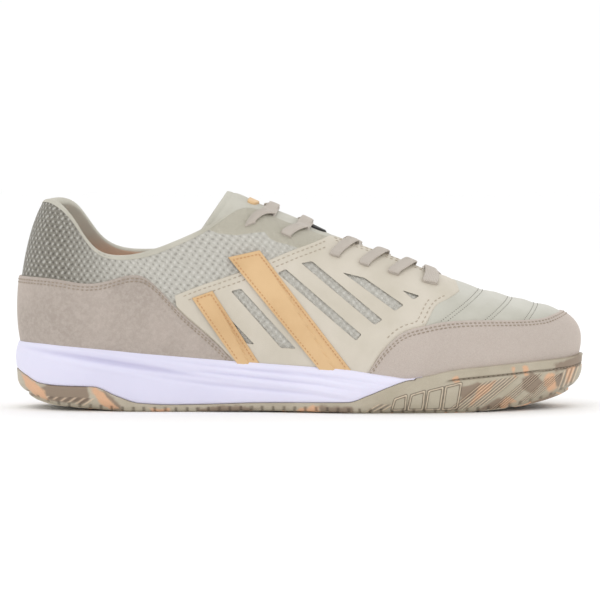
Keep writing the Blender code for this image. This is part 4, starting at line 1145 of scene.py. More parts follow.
def build_quarter(side, inner):
    line = quarter_outline()

    def depth_at(places, shares):
        return signed_distance(side_view(upper_points(places, shares)), line)

    reach = np.linspace(*sorted((place_at(0.20, inner), place_at(0.93, inner))), 400)
    covered = reach[depth_at(reach, np.linspace(-0.02, 1.0, 160)).max(axis=1) > 0.15]
    places = np.linspace(covered[0], covered[-1], 200)
    fine = np.linspace(-0.02, 1.0, 300)
    low, high = np.array([ends_within(row, fine) for row in depth_at(places, fine)]).T
    even = np.linspace(0, 1, 48)
    share = 0.55 * (1 - np.cos(math.pi * even)) / 2 + 0.45 * even
    t = low[:, None] + (high - low)[:, None] * share[None, :]
    points = upper_points(places, t)
    arcs = column_arcs(places, t)
    to_throat = np.where(high[:, None] > 0.995, arcs[:, -1:] - arcs, 99.0)
    gap = np.minimum(np.maximum(signed_distance(side_view(points), line), 0), to_throat)
    height = rounded_edge(gap, QUARTER_THICKNESS, QUARTER_SEAMS, 0.10)
    height += 0.08 * MM * waves(points, 0.035, 7)
    # It tucks under the suede at both ends
    tucked = 0.25 * MM
    for edge in (COUNTER_EDGE, TOE_EDGE):
        clear = above_edge(side_view(points), edge)
        height = tucked + (height - tucked) * smooth_step(-0.1, 0.9, clear)
    out = upper_shell(places, t, height)
    panel = slab(f"quarter_panel_{side}", out, upper_shell(places, t, -0.05 * MM), QUARTER)
    panel.data.materials.append(CUT_EDGE)
    cutter = window_cutter(side, inner)
    modifier = panel.modifiers.new("windows", "BOOLEAN")
    modifier.operation = "DIFFERENCE"
    modifier.solver = "EXACT"
    modifier.material_mode = "TRANSFER"
    modifier.object = cutter
    apply_modifiers(panel)
    bpy.data.objects.remove(cutter)
    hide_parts(f"quarter_{side}")


def above_edge(view, edge):
    """How far above an overlay's edge side-view spots lie, in mm."""
    edge = smooth_line(edge, 8)
    gap, _ = distance_to_line(view, edge)
    above = view[..., 1] > np.interp(view[..., 0], edge[:, 0], edge[:, 1])
    reached = (view[..., 0] > edge[0, 0]) & (view[..., 0] < edge[-1, 0])
    return np.where(above | ~reached, gap, -gap)


def apply_modifiers(piece):
    graph = bpy.context.evaluated_depsgraph_get()
    made = bpy.data.meshes.new_from_object(piece.evaluated_get(graph))
    old = piece.data
    piece.modifiers.clear()
    piece.data = made
    bpy.data.meshes.remove(old)
    made.name = piece.name
    made.set_sharp_from_angle(angle=math.radians(40))


def window_cutter(side, inner):
    """All the windows of one side, as one cutter with smooth corners."""
    points, faces = [], []
    sign = 1 if inner else -1
    for window in WINDOWS:
        corners = np.array(window)
        line = []
        for k, corner in enumerate(corners):
            before, after = corners[k - 1], corners[(k + 1) % len(corners)]
            for way in (before, after):
                reach = np.linalg.norm((way - corner) * SIDE_SCALE)
                line.append(corner + (way - corner) * min(0.6 / reach, 0.3))
        flat = [(x_of(x), z * COLLAR_HEIGHT) for x, z in line]
        start = len(points)
        count = len(flat)
        near, far = sign * 0.006, sign * 0.07
        points += [(x, near, z) for x, z in flat] + [(x, far, z) for x, z in flat]
        faces.append([start + k for k in range(count)])
        faces.append([start + count + k for k in reversed(range(count))])
        for k in range(count):
            after = (k + 1) % count
            faces.append([start + after, start + k, start + count + k, start + count + after])
    cutter = make_piece(f"windows_{side}", points, faces, CUT_EDGE, body=None)
    recalculate(cutter)
    cutter.hide_render = True
    return cutter


def recalculate(piece):
    """Turns all the faces of a piece outwards."""
    shape = bmesh.new()
    shape.from_mesh(piece.data)
    bmesh.ops.recalc_face_normals(shape, faces=shape.faces)
    shape.to_mesh(piece.data)
    shape.free()


def across_steps(count):
    """Shares across a strap, close together at both edges."""
    near = np.array((0, 0.012, 0.035, 0.07, 0.12))
    return np.concatenate([near, np.linspace(0.18, 0.82, count - 10), 1 - near[::-1]])


def rim_in_view(x_share):
    """Height of the midsole's rim as the side view gives it."""
    return sole_height("rim", x_of(x_share)) / COLLAR_HEIGHT


def build_saddle(side, inner, which, corners):
    """Leather band in the side view from its top corners down behind the rim."""
    corners = np.array(corners)
    long = np.concatenate([[0, 0.006, 0.016, 0.03], np.linspace(0.05, 1, 80)])
    s, r = np.meshgrid(long, across_steps(22), indexing="ij")
    top = corners[0] + r[..., None] * (corners[1] - corners[0])
    foot = corners[3] + r[..., None] * (corners[2] - corners[3])
    reach = (top[..., 1] - rim_in_view(foot[..., 0]) + 0.012) / (top[..., 1] - foot[..., 1])
    view = top + (s * reach)[..., None] * (foot - top)
    place, t = on_side(view.reshape(-1, 2), inner)
    spots = upper_points(place, t[:, None])[:, 0].reshape(*view.shape[:2], 3)
    normal = upper_normals(place, t[:, None])[:, 0].reshape(*view.shape[:2], 3)
    line = np.array([corners[0], corners[1], corners[2] + (0.02, -0.2), corners[3] + (0.02, -0.2)])
    gap = np.maximum(signed_distance(view, line), 0)
    height = QUARTER_THICKNESS + rounded_edge(gap, SADDLE_THICKNESS, (SADDLE_SEAM,), 0.16)
    height += 0.10 * MM * (1 - bell(np.maximum(gap - 3, 0), 4))
    out = spots + normal * height[..., None]
    under = spots + normal * 0.3 * MM
    if not inner:
        out, under = out[:, ::-1], under[:, ::-1]
    piece = slab(f"saddle_band_{which}_{side}", out[::-1], under[::-1], SADDLE)
    recalculate(piece)
    edge_material(piece, out, TAN_EDGE)
    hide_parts(f"saddle_{which}_{side}")
    # One seam runs up one edge, across the top and down the other
    share = SADDLE_SEAM / (np.linalg.norm((corners[1] - corners[0]) * SIDE_SCALE) * 0.93)
    ends = []
    for across, first, last in ((share, 1.0, 0.0), (1 - share, 0.0, 1.0)):
        run = np.linspace(first, last, 120) * (1 - 0.03) + 0.03
        a = corners[0] + across * (corners[1] - corners[0])
        b = corners[3] + across * (corners[2] - corners[3])
        ends.append(a + run[:, None] * (b - a))
    path = resample(np.vstack(ends), 260)
    path = path[path[:, 1] > rim_in_view(path[:, 0]) + 0.01]
    height = QUARTER_THICKNESS + SADDLE_THICKNESS - 0.02 * MM
    stitch_on("saddle", *on_side(path, inner), height)


# Stitches

# Each kind of stitch: step from one to the next and radius in mm, the share of
# the step that shows, the finish and the slot
STITCHES = {
    "suede": (2.3, 0.30, 0.72, THREAD, "suede"),
    "quarter": (2.6, 0.24, 0.72, PALE_THREAD, "quarter"),
    "saddle": (1.9, 0.26, 0.72, TAN_THREAD, "saddle"),
    "vamp": (1.5, 0.20, 0.55, HOLES, "mesh"),
    "foxing": (2.6, 0.28, 0.72, THREAD, "outsole"),
}
THREADS = {kind: [] for kind in STITCHES}
# Rings of one stitch: place along its half, width and height as shares of its radius
STITCH_RINGS = ((-1.0, 0.35, -0.9), (-0.55, 0.95, 0.35), (0.55, 0.95, 0.35), (1.0, 0.35, -0.9))
STITCH_SIDES = 6


def stitch_row(kind, line, normals):
    """Adds short threads along a line."""
    pitch, radius, share, _, _ = STITCHES[kind]
    lengths = run_lengths(line) / MM
    count = int(lengths[-1] / pitch)
    if count < 2:
        return
    centres = (np.arange(count) + 0.5) * lengths[-1] / count

    def at(table, where):
        return np.column_stack([np.interp(where, lengths, table[:, k]) for k in range(3)])

    middle = at(line, centres)
    normal = at(normals, centres)
    normal /= np.linalg.norm(normal, axis=1)[:, None]
    along = at(line, centres + 0.3) - at(line, centres - 0.3)
    along /= np.maximum(np.linalg.norm(along, axis=1), 1e-12)[:, None]
    across = np.cross(normal, along)
    half = pitch * share / 2 * MM
    for k in range(count):
        rings = []
        for run, wide, lift in STITCH_RINGS:
            for step in range(STITCH_SIDES):
                turn = 2 * math.pi * step / STITCH_SIDES
                spot = middle[k] + along[k] * run * half
                spot = spot + across[k] * math.cos(turn) * wide * radius * MM
                spot = spot + normal[k] * (math.sin(turn) * wide + lift) * radius * MM
                rings.append(spot)
        THREADS[kind].append(np.array(rings))


def stitch_on(kind, places, t, height):
    """Adds a row of threads on the upper, at this height over it."""
    line = upper_shell(places, t[:, None], height)[:, 0]
    stitch_row(kind, line, upper_normals(places, t[:, None])[:, 0])


def build_threads():
    rings, sides = len(STITCH_RINGS), STITCH_SIDES
    template = []
    for r in range(rings - 1):
        for k in range(sides):
            after = (k + 1) % sides
            low, high = r * sides, (r + 1) * sides
            template.append([low + k, low + after, high + after, high + k])
    template.append(list(range(sides))[::-1])
    template.append([(rings - 1) * sides + k for k in range(sides)])
    for kind, store in THREADS.items():
        if not store:
            continue
        faces = [[v + k * rings * sides for v in face] for k in range(len(store)) for face in template]
        *_, finish, slot = STITCHES[kind]
        piece = make_piece(f"stitches_{kind}", np.concatenate(store), faces, finish, sharp=80)


def offset_line(line, gap):
    """A side-view line moved to its right-hand side by gap mm."""
    line = np.asarray(line) * SIDE_SCALE
    along = np.gradient(line, axis=0)
    along /= np.linalg.norm(along, axis=1)[:, None]
    moved = line + np.column_stack([along[:, 1], -along[:, 0]]) * gap
    return moved / SIDE_SCALE


def stitch_quarter(inner):
    """Two seams along the top, the front and the throat's edge of a side panel."""
    height = QUARTER_THICKNESS - 0.06 * MM
    top = resample(smooth_line(QUARTER_TOP[:8], 8)[:-4], 300)
    front = resample(smooth_line(QUARTER_FRONT + QUARTER_FOOT[:1], 8), 160)
    places = np.linspace(place_with_top(0.555, inner), place_with_top(0.722, inner), 300)
    fine = np.linspace(0.6, 1.0, 200)
    arcs = column_arcs(places, fine)
    for second, gap in enumerate(QUARTER_SEAMS):
        line = offset_line(top, gap)
        line = line[(line[:, 0] > 0.295 + 0.008 * second) & (line[:, 0] < 0.545)]
        stitch_on("quarter", *on_side(line, inner), height)
        line = offset_line(front, gap)
        line = line[line[:, 1] < 0.548 - 0.012 * second]
        line = line[above_edge(line, TOE_EDGE) > 1.2]
        stitch_on("quarter", *on_side(line, inner), height)
        stitch_on("quarter", places, shares_below_edge(arcs, fine, gap), height)


def stitch_quilts():
    """Double rows of needle holes along the forefoot's quilting seams."""
    places = np.linspace(BALL_OUTER, BALL_INNER, 500)
    t = np.linspace(0.0, 0.97, 420)
    points = upper_points(places, t)
    edge = smooth_line(TOE_EDGE, 8)
    view = side_view(points)
    clear = view[..., 1] > np.interp(view[..., 0], edge[:, 0], edge[:, 1]) + 0.004
    for gap in quilt_gap(points):
        for shift in QUILT_ROWS:
            spots = []
            for place, row in zip(places, np.where(clear, gap - shift, np.nan)):
                change = np.flatnonzero((row[:-1] * row[1:] <= 0) & np.isfinite(row[:-1] * row[1:]))
                if len(change) == 0:
                    continue
                j = change[-1]
                share = row[j] / (row[j] - row[j + 1]) if row[j] != row[j + 1] else 0.0
                spots.append((place, t[j] + share * (t[j + 1] - t[j])))
            if len(spots) < 10:
                continue
            spots = np.array(spots)
            line = upper_points(spots[:, 0], spots[:, 1:])[:, 0]
            normal = upper_normals(spots[:, 0], spots[:, 1:])[:, 0]
            order = np.argsort(line[:, 1])
            line = (line + normal * vamp_out(line)[:, None])[order]
            stitch_row("vamp", line, normal[order])


# Tongue and laces


def tongue_row(side, depth, at):
    """Across the tongue from one throat edge to the other, this far below its top face."""
    wing = np.array((0.80, 0.90, 0.97, 1.0))
    table = np.array(TONGUE)
    x, z = curve_through(table[:, 0], table[:, 1:], [side])[0]
    outer = place_with_top(side, False)
    inner = place_with_top(side, True)
    extra = wall_at(np.array([outer, inner]), wing)
    left = upper_shell(outer, wing, -(TONGUE_CLEARANCE + depth + extra[:1]))[0]
    right = upper_shell(inner, wing, -(TONGUE_CLEARANCE + depth + extra[1:]))[0]
    crown = np.array((x_of(x), 0.0, z * COLLAR_HEIGHT - depth))
    knots = np.concatenate([left, crown[None], right[::-1]])
    run = run_lengths(knots)
    points = curve_through(run / run[-1], knots, at)
    # Seen from the side, the rear edge is straight from the collar to the crown
    rake = np.clip((RAKED[1] - side) / (RAKED[1] - RAKED[0]), 0, 1)
    for edge, beyond in ((3, points[:, 1] < 0), (5, points[:, 1] >= 0)):
        start, top = knots[edge], knots[4]
        share = np.clip((points[:, 2] - start[2]) / (top[2] - start[2]), 0, 1)
        straight = start[0] + (top[0] - start[0]) * share
        above = beyond & (points[:, 2] > start[2])
        points[:, 0] += np.where(above, rake * (straight - points[:, 0]), 0)
    return points


TONGUE_GRID = {}


def tongue_at(side, across, rise):
    """Points this far above the tongue's top face, at shares along and across it."""
    if not TONGUE_GRID:
        sides = np.linspace(0.300, 0.760, 93)
        spans = np.linspace(0, 1, 81)
        low = np.array([tongue_row(place, 0.0, spans) for place in sides])
        high = np.array([tongue_row(place, -MM, spans) for place in sides])
        TONGUE_GRID["places"] = (sides, spans)
        TONGUE_GRID["points"] = np.stack([low, (high - low) / MM])
    sides, spans = TONGUE_GRID["places"]
    side, across, rise = np.broadcast_arrays(side, across, rise)
    a = (side - sides[0]) / (sides[1] - sides[0])
    b = (across - spans[0]) / (spans[1] - spans[0])
    i = np.clip(np.floor(a).astype(int), 0, len(sides) - 2)
    j = np.clip(np.floor(b).astype(int), 0, len(spans) - 2)
    a, b = (a - i)[..., None], (b - j)[..., None]
    grid = TONGUE_GRID["points"]
    near = grid[:, i, j] * (1 - a) + grid[:, i + 1, j] * a
    far = grid[:, i, j + 1] * (1 - a) + grid[:, i + 1, j + 1] * a
    low, up = near * (1 - b) + far * b
    return low + up * rise[..., None]


def build_tongue():
    at = np.concatenate([[0, 0.01, 0.03], np.linspace(0.06, 0.94, 52), [0.97, 0.99, 1.0]])
    sides = np.linspace(TONGUE[0][0], TONGUE[-1][0], 110)
    middle = np.array([tongue_row(side, TONGUE_THICKNESS / 2, at) for side in sides])
    down = np.array([tongue_row(side, TONGUE_THICKNESS, at) for side in sides])
    facing = middle - down
    facing /= np.linalg.norm(facing, axis=2)[:, :, None]
    # Its front end runs on under the forefoot
    tucked = np.linspace(0, 1, 6)[1:, None, None] * (0.014, 0.0, -0.0075)
    middle = np.concatenate([middle, middle[-1:] + tucked])
    facing = np.concatenate([facing, np.repeat(facing[-1:], 5, axis=0)])
    from_top = np.linalg.norm(middle - middle[:1], axis=2) / MM
    from_side = np.minimum(at, 1 - at)[None, :] * 90
    rim = round_over(np.minimum(from_top, from_side), 1.6)
    half = TONGUE_THICKNESS / 2 * rim
    seam = bell(np.minimum(from_top, from_side + 6) - 4.2, 0.5)
    puff = TONGUE_PUFF * smooth_step(4, 9, from_top) * smooth_step(4, 14, from_side)
    soft = 0.20 * MM * waves(middle, 0.025, 13)
    top = middle + facing * (half + puff + soft * rim - 0.25 * MM * seam * rim)[:, :, None]
    bottom = middle - facing * half[:, :, None]
    piece = slab("tongue_pad", top, bottom, TONGUE_TEXTILE)
    recalculate(piece)
    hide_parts("tongue")


def build_patch(name, node, sides, span, thick, finish, rounded):
    """Plain patch on the crown of the tongue, with rounded corners."""
    steps = np.linspace(-1, 1, 25)
    a, b = np.meshgrid(steps, steps, indexing="ij")
    # A square drawn in towards a rounded outline
    drawn_in = 1 - rounded * a**2 * b**2 / 2
    edge = 1 - np.maximum(np.abs(a), np.abs(b))
    high = thick * (0.25 + 0.75 * round_over(edge, 0.12))
    side = np.mean(sides) + a * drawn_in * (sides[1] - sides[0]) / 2
    spot = np.mean(span) + b * drawn_in * (span[1] - span[0]) / 2
    low = TONGUE_PUFF + PATCH_CLEARANCE
    piece = slab(name, tongue_at(side, spot, low + high), tongue_at(side, spot, low - 0.5 * MM), finish)
    recalculate(piece)
    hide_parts(node)


def eyelet_share(place, setback):
    """Share of a section's curve at which its lace hole lies."""
    fine = np.linspace(0.5, 1, 201)
    run = run_lengths(upper_points(place, fine)[0])
    return float(fine[np.abs(run[-1] - run - setback).argmin()])


def lace_on_wall(first, lean, setback, on_wall, sign):
    """Points from inside a lace hole up the outside of the wall and over its edge."""
    hole, middle, edge = (
        np.array([place_with_top(first + share * lean, sign > 0)]) for share in (0.0, 0.5, 1.0)
    )
    t = eyelet_share(hole, setback)
    below = eyelet_share(hole, setback + 1.1 * MM)
    within = eyelet_share(hole, setback - 1.2 * MM)
    return [
        upper_shell(hole, [within], -2.6 * MM + on_wall)[0, 0],
        upper_shell(hole, [below], -0.9 * MM + on_wall)[0, 0],
        upper_shell(hole, [t], on_wall + 0.25 * MM)[0, 0],
        upper_shell(middle, [0.5 * t + 0.5], on_wall + 0.55 * MM)[0, 0],
        upper_shell(edge, [1.0], on_wall + 0.5 * MM)[0, 0],
    ]


def lace_rail(start, end, sign, shift, lift, hump, steps):
    """Line along a lace from a hole on one side, over the throat's edge and the tongue."""
    hole, lean, setback = EYELETS[start]
    first = hole + shift
    panel = QUARTER_THICKNESS + GAP if start >= KNIT_EYELET_COUNT else 0
    knots = lace_on_wall(first, lean, setback, lift + LACE_TO_WALL + panel, sign)
    near, far = LACE_TONGUE_SPAN
    leaves, arrives = LACE_ON_TONGUE

    def on_tongue(k, rise):
        across = near + (far - near) * k
        side = first + lean + leaves + (arrives - leaves) * min(k, 1.0)
        return tongue_at(side, across if sign < 0 else 1 - across, rise + lift)

    if start != end:
        for k in (0.0, 0.33, 0.67, 1.0):
            knots.append(on_tongue(k, LACE_CLEARANCE + hump * (0 < k < 1)))
        for k, rise in ((1.3, 0.9 * MM), (1.6, 0.1 * MM), (1.85, -0.5 * MM)):
            knots.append(on_tongue(k, rise))
    else:
        for k in (0.33, 0.67):
            knots.append(on_tongue(k, LACE_CLEARANCE) + UP * 0.0008)
        knots += lace_on_wall(first, lean, setback, lift + LACE_TO_WALL + panel, -sign)[::-1]
    knots = np.array(knots)
    return curve_through(np.arange(len(knots)), knots, np.linspace(0, len(knots) - 1, steps))


def build_lace(name, start, end, sign, hump, nodes):
    """Flat woven lace with rounded edges, a little narrower where it enters a hole."""
    around, steps = 18, 90
    half = LACE_WIDTH / 2 / LENGTH
    rails = {
        (side, top): lace_rail(start, end, sign, side * half, top * LACE_THICKNESS, hump, steps)
        for side in (-1, 0, 1)
        for top in (0, 1)
    }
    around_it, across = [], []
    for k in range(around):
        turn = 2 * math.pi * k / around
        wide = math.copysign(abs(math.cos(turn)) ** 0.45, math.cos(turn))
        high = math.copysign(abs(math.sin(turn)) ** 0.8, math.sin(turn))
        across.append(wide * LACE_WIDTH / 2 / MM)
        top = (1 + high) / 2
        line = np.zeros((steps, 3))
        for side, share in ((-1, wide * (wide - 1) / 2), (0, 1 - wide**2), (1, wide * (wide + 1) / 2)):
            line += share * (rails[side, 0] * (1 - top) + rails[side, 1] * top)
        around_it.append(line)
    sections = np.stack(around_it, axis=1)
    middle = sections.mean(axis=1, keepdims=True)
    run = np.linspace(0, 1, steps)
    squeeze = 1 - 0.20 * bell(run, 0.16) - (0.20 * bell(1 - run, 0.16) if start == end else 0)
    sections = middle + (sections - middle) * squeeze[:, None, None]
    lengths = run_lengths(middle[:, 0]) / MM
    values = {"along": np.repeat(lengths, around), "across": np.tile(across, steps)}
    piece = tube(name, sections, LACE, values, sharp=60)
    recalculate(piece)
    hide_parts(*nodes)


# Sole


def is_covered(x):
    return share_of_length(x) > COVER_START


def wall_top(x):
    """Top of the outsole's wall, which takes over the rim at the forefoot."""
    wall, rim = sole_height("wall", x), sole_height("rim", x)
    return np.where(is_covered(x), rim, np.minimum(wall, rim - 3 * GAP))


def edge_inset(place):
    """How far the rounded lower edge of the outsole draws in."""
    points, _ = outline(place)
    wall = wall_top(points[:, 0]) - sole_height("floor", points[:, 0])
    return np.clip(EDGE_ROUND_SHARE * wall, EDGE_ROUND_LEAST, EDGE_ROUND)


# Creases of the midsole in the side view, as px of the photo, with depth and width in mm.
# A depth below 0 is a ridge.
CREASES = (
    (((20, 349), (41, 352), (71, 356), (122, 364), (168, 371), (215, 378)), 0.9, 1.5),
    (((19, 343), (60, 348), (92, 352), (133, 359), (160, 364), (200, 372)), -0.35, 1.0),
    (((30, 357), (71, 363), (122, 372), (160, 379)), -0.30, 1.4),
    (((140, 360), (193, 371), (265, 378), (318, 383), (363, 390)), 0.55, 0.9),
    (((150, 357), (205, 365), (265, 371), (318, 376), (372, 385)), 0.40, 0.8),
    (((140, 374), (211, 384), (247, 387), (318, 393), (354, 400)), 0.50, 1.2),
    (((170, 368), (230, 378), (300, 386), (350, 395)), -0.35, 1.3),
    (((240, 368), (300, 372), (350, 378), (392, 384)), 0.35, 0.7),
)
# Side of the midsole between its creases: shares of its height, and how far it stands out
MIDSOLE_SIDE = (
    (0, -0.0010), (0.02, -0.0003), (0.10, 0.0002), (0.4, 0.0006),
    (0.75, 0.0001), (0.93, -0.0006), (1.0, -0.0014),
)
PX = 0.50883 * MM
PX_FLOOR = 411.5
PHOTO_WIDTH = 600
CAMERA_TILT = math.radians(3)


def from_px(line):
    """Side-view shares of spots given in pixels, near the shoe's outer face."""
    line = np.asarray(line, float)
    x = share_of_length((line[:, 0] - PHOTO_WIDTH / 2) * PX)
    height = (PX_FLOOR - line[:, 1]) * PX - 2.36 * MM
    z = height + 0.45 * BALL_WIDTH * math.sin(CAMERA_TILT)
    return np.column_stack([x, z / COLLAR_HEIGHT])


def build_midsole():
    start, end = place_at(0.712, True) - 1.0, place_at(0.712, False)
    places = np.linspace(start, end, 400)
    points, _ = outline(places)
    low = wall_top(points[:, 0]) + 0.05 * MM
    rim = sole_height("rim", points[:, 0])
    share = np.concatenate([np.linspace(0, 0.93, 42), [0.955, 0.975, 0.99, 1.0]])
    base = profile_through(*zip(*MIDSOLE_SIDE), share)
    rows = np.stack([ring(places, base[k], low * (1 - s) + rim * s) for k, s in enumerate(share)], axis=1)
    view = side_view(rows)
    fade = smooth_step(0.01, 0.10, share)[None, :] * (1 - smooth_step(0.90, 1.0, share))[None, :]
    out = np.zeros(view.shape[:2])
    for line, depth, width in CREASES:
        gap, along = distance_to_line(view, resample(from_px(line), 60))
        swell = np.sin(np.pi * np.clip(along, 0.0, 1.0) * 0.96 + 0.06) ** 0.7
        out -= 1.6 * depth * MM * bell(gap, width) * swell
    normal = outline(places)[1]
    move = (out * fade)[:, :, None] * normal[:, None, :]
    rows[:, :, :2] += move
    # The lip turns over the rim and runs down inside
    inner = [ring(places, -RIM_WALL - 0.4 * MM, rim - down) for down in (0.0, 4 * MM)]
    rows = np.concatenate([rows, np.stack(inner, axis=1)], axis=1)
    depths = np.concatenate([np.full(len(share), 4 * MM), [1.2 * MM, 1.2 * MM]])
    under = rows.copy()
    under[:, :, :2] -= normal[:, None, :] * depths[None, :, None]
    under[:, -2:, 2] -= 3 * MM
    # How deep each crease lies, for the painted shade in it
    crease_shade = np.clip(-out * fade / MM, 0, 1.5)
    values = {"crease_shade": np.concatenate([crease_shade, np.zeros((len(crease_shade), 2))], axis=1)}
    piece = slab("midsole_foam", rows, under, FOAM, values=values)
    recalculate(piece)
    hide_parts("midsole")


# Step from one small lug of the lower edge to the next, in mm
LUG_PITCH = 5.4
# Groups of ribs on the outsole's wall, in px of the photo: two ends of the
# first rib, how many, the step to the next, and how far the group reaches past them in mm
RIBS = (
    ((446, 409), (478, 383), 8, (5.1, -0.9), 0.5),
    ((488, 409), (524, 379), 4, (4.6, -1.2), 0.5),
    ((518, 402), (543, 381), 5, (4.2, -1.2), 0.4),
    ((557, 391), (563, 374), 4, (5.2, -1.9), 0.4),
    ((50, 398), (60, 391), 6, (7.4, 1.4), 0.5),
    ((366, 409), (376, 403), 3, (7.0, 0.0), 0.3),
)
FRAMES = (
    ((390, 408), (393, 397), (404, 393), (403, 408)),
    ((406, 408), (409, 393), (422, 389), (420, 408)),
    ((423, 408), (426, 389), (440, 385.5), (437, 408)),
    ((440, 408), (443, 385), (458, 381.5), (454, 407)),
)
# Camouflage patches on the wall, in px of the photo
BROWN = (
    ((43, 391), (52, 384), (90, 386), (92, 402), (70, 404), (52, 401)),
    ((101, 390), (109, 391), (124, 404), (126, 411), (112, 410)),
    ((459, 400), (458, 386), (473, 381), (478, 383), (468, 395)),
    ((553, 374), (552, 366), (581, 358), (583, 366), (579, 370)),
    ((517, 378), (530, 372), (540, 384), (531, 394), (519, 389)),
    ((476, 409), (492, 397), (503, 398), (498, 409)),
    ((548, 388), (553, 378), (562, 374), (559, 389)),
    ((196, 407), (236, 405), (262, 407), (250, 413), (200, 413)),
    ((318, 405), (350, 406), (352, 413), (322, 413)),
)
PEACH = (
    ((22, 376), (33, 382), (46, 393), (52, 403), (38, 398), (26, 390)),
    ((92, 386), (100, 386), (122, 408), (112, 410), (96, 394)),
    ((450, 377), (454, 376), (456, 380), (452, 382)),
    ((478, 385), (492, 379), (487, 389), (474, 399), (462, 409), (470, 397)),
    ((496, 404), (507, 396), (512, 401), (499, 409)),
    ((509, 368), (512, 367), (513, 378), (510, 379)),
    ((519, 367), (524, 366), (526, 376), (521, 377)),
    ((543, 376), (552, 374), (555, 390), (546, 395), (541, 387)),
    ((566, 372), (574, 370), (571, 384), (564, 388)),
    ((300, 406), (318, 405), (320, 412), (296, 412)),
    ((150, 407), (172, 408), (170, 413), (156, 413)),
)


# Tread: herringbone, the rings of the turning circle under the ball, and the
# places of the grooves that let it bend. Lengths are in mm, places in shares.
ZIGZAG_WIDTH = 11.0
ZIGZAG_PITCH = 5.2
RING_PITCH = 4.6
TURNING_CENTRE = (42, 2)
TURNING_RADIUS = 22
FLEX_GROOVES = (0.105, 0.155, 0.205, 0.265, 0.580, 0.640, 0.700, 0.760, 0.820, 0.875)
TREAD_DEPTH = 1.2 * MM


def patch_depth(view, patches):
    """Largest signed distance inside any of the patches, in mm."""
    best = np.full(view.shape[:-1], -50.0)
    for patch in patches:
        best = np.maximum(best, signed_distance(view, from_px(patch)))
    return best


def rib_groups(view):
    """Where the groups of ribs lie, from 0 to 1, and which rib a spot is on."""
    cover = np.zeros(view.shape[:-1])
    phase = np.zeros(view.shape[:-1])
    for first, second, count, step, reach in RIBS:
        last = np.multiply(step, count - 1)
        depth = signed_distance(view, from_px([first, second, np.add(second, last), np.add(first, last)]))
        start, end, after = (from_px([spot])[0] * SIDE_SCALE for spot in (first, second, np.add(first, step)))
        along = (end - start) / np.linalg.norm(end - start)
        across = np.array((along[1], -along[0]))
        spot = view * SIDE_SCALE - start
        here = smooth_step(-reach - 0.35, -reach + 0.15, depth)
        phase = np.where(depth > -reach - 1.2, spot @ across / ((after - start) @ across), phase)
        cover = np.maximum(cover, here)
    return cover, phase


def frame_gap(view):
    """Distance in mm from the nearest line of the square frames, negative inside one."""
    best = np.full(view.shape[:-1], 9.0)
    for frame_line in FRAMES:
        gap, _ = distance_to_line(view, from_px(frame_line), closed=True)
        best = np.minimum(best, gap)
    return best


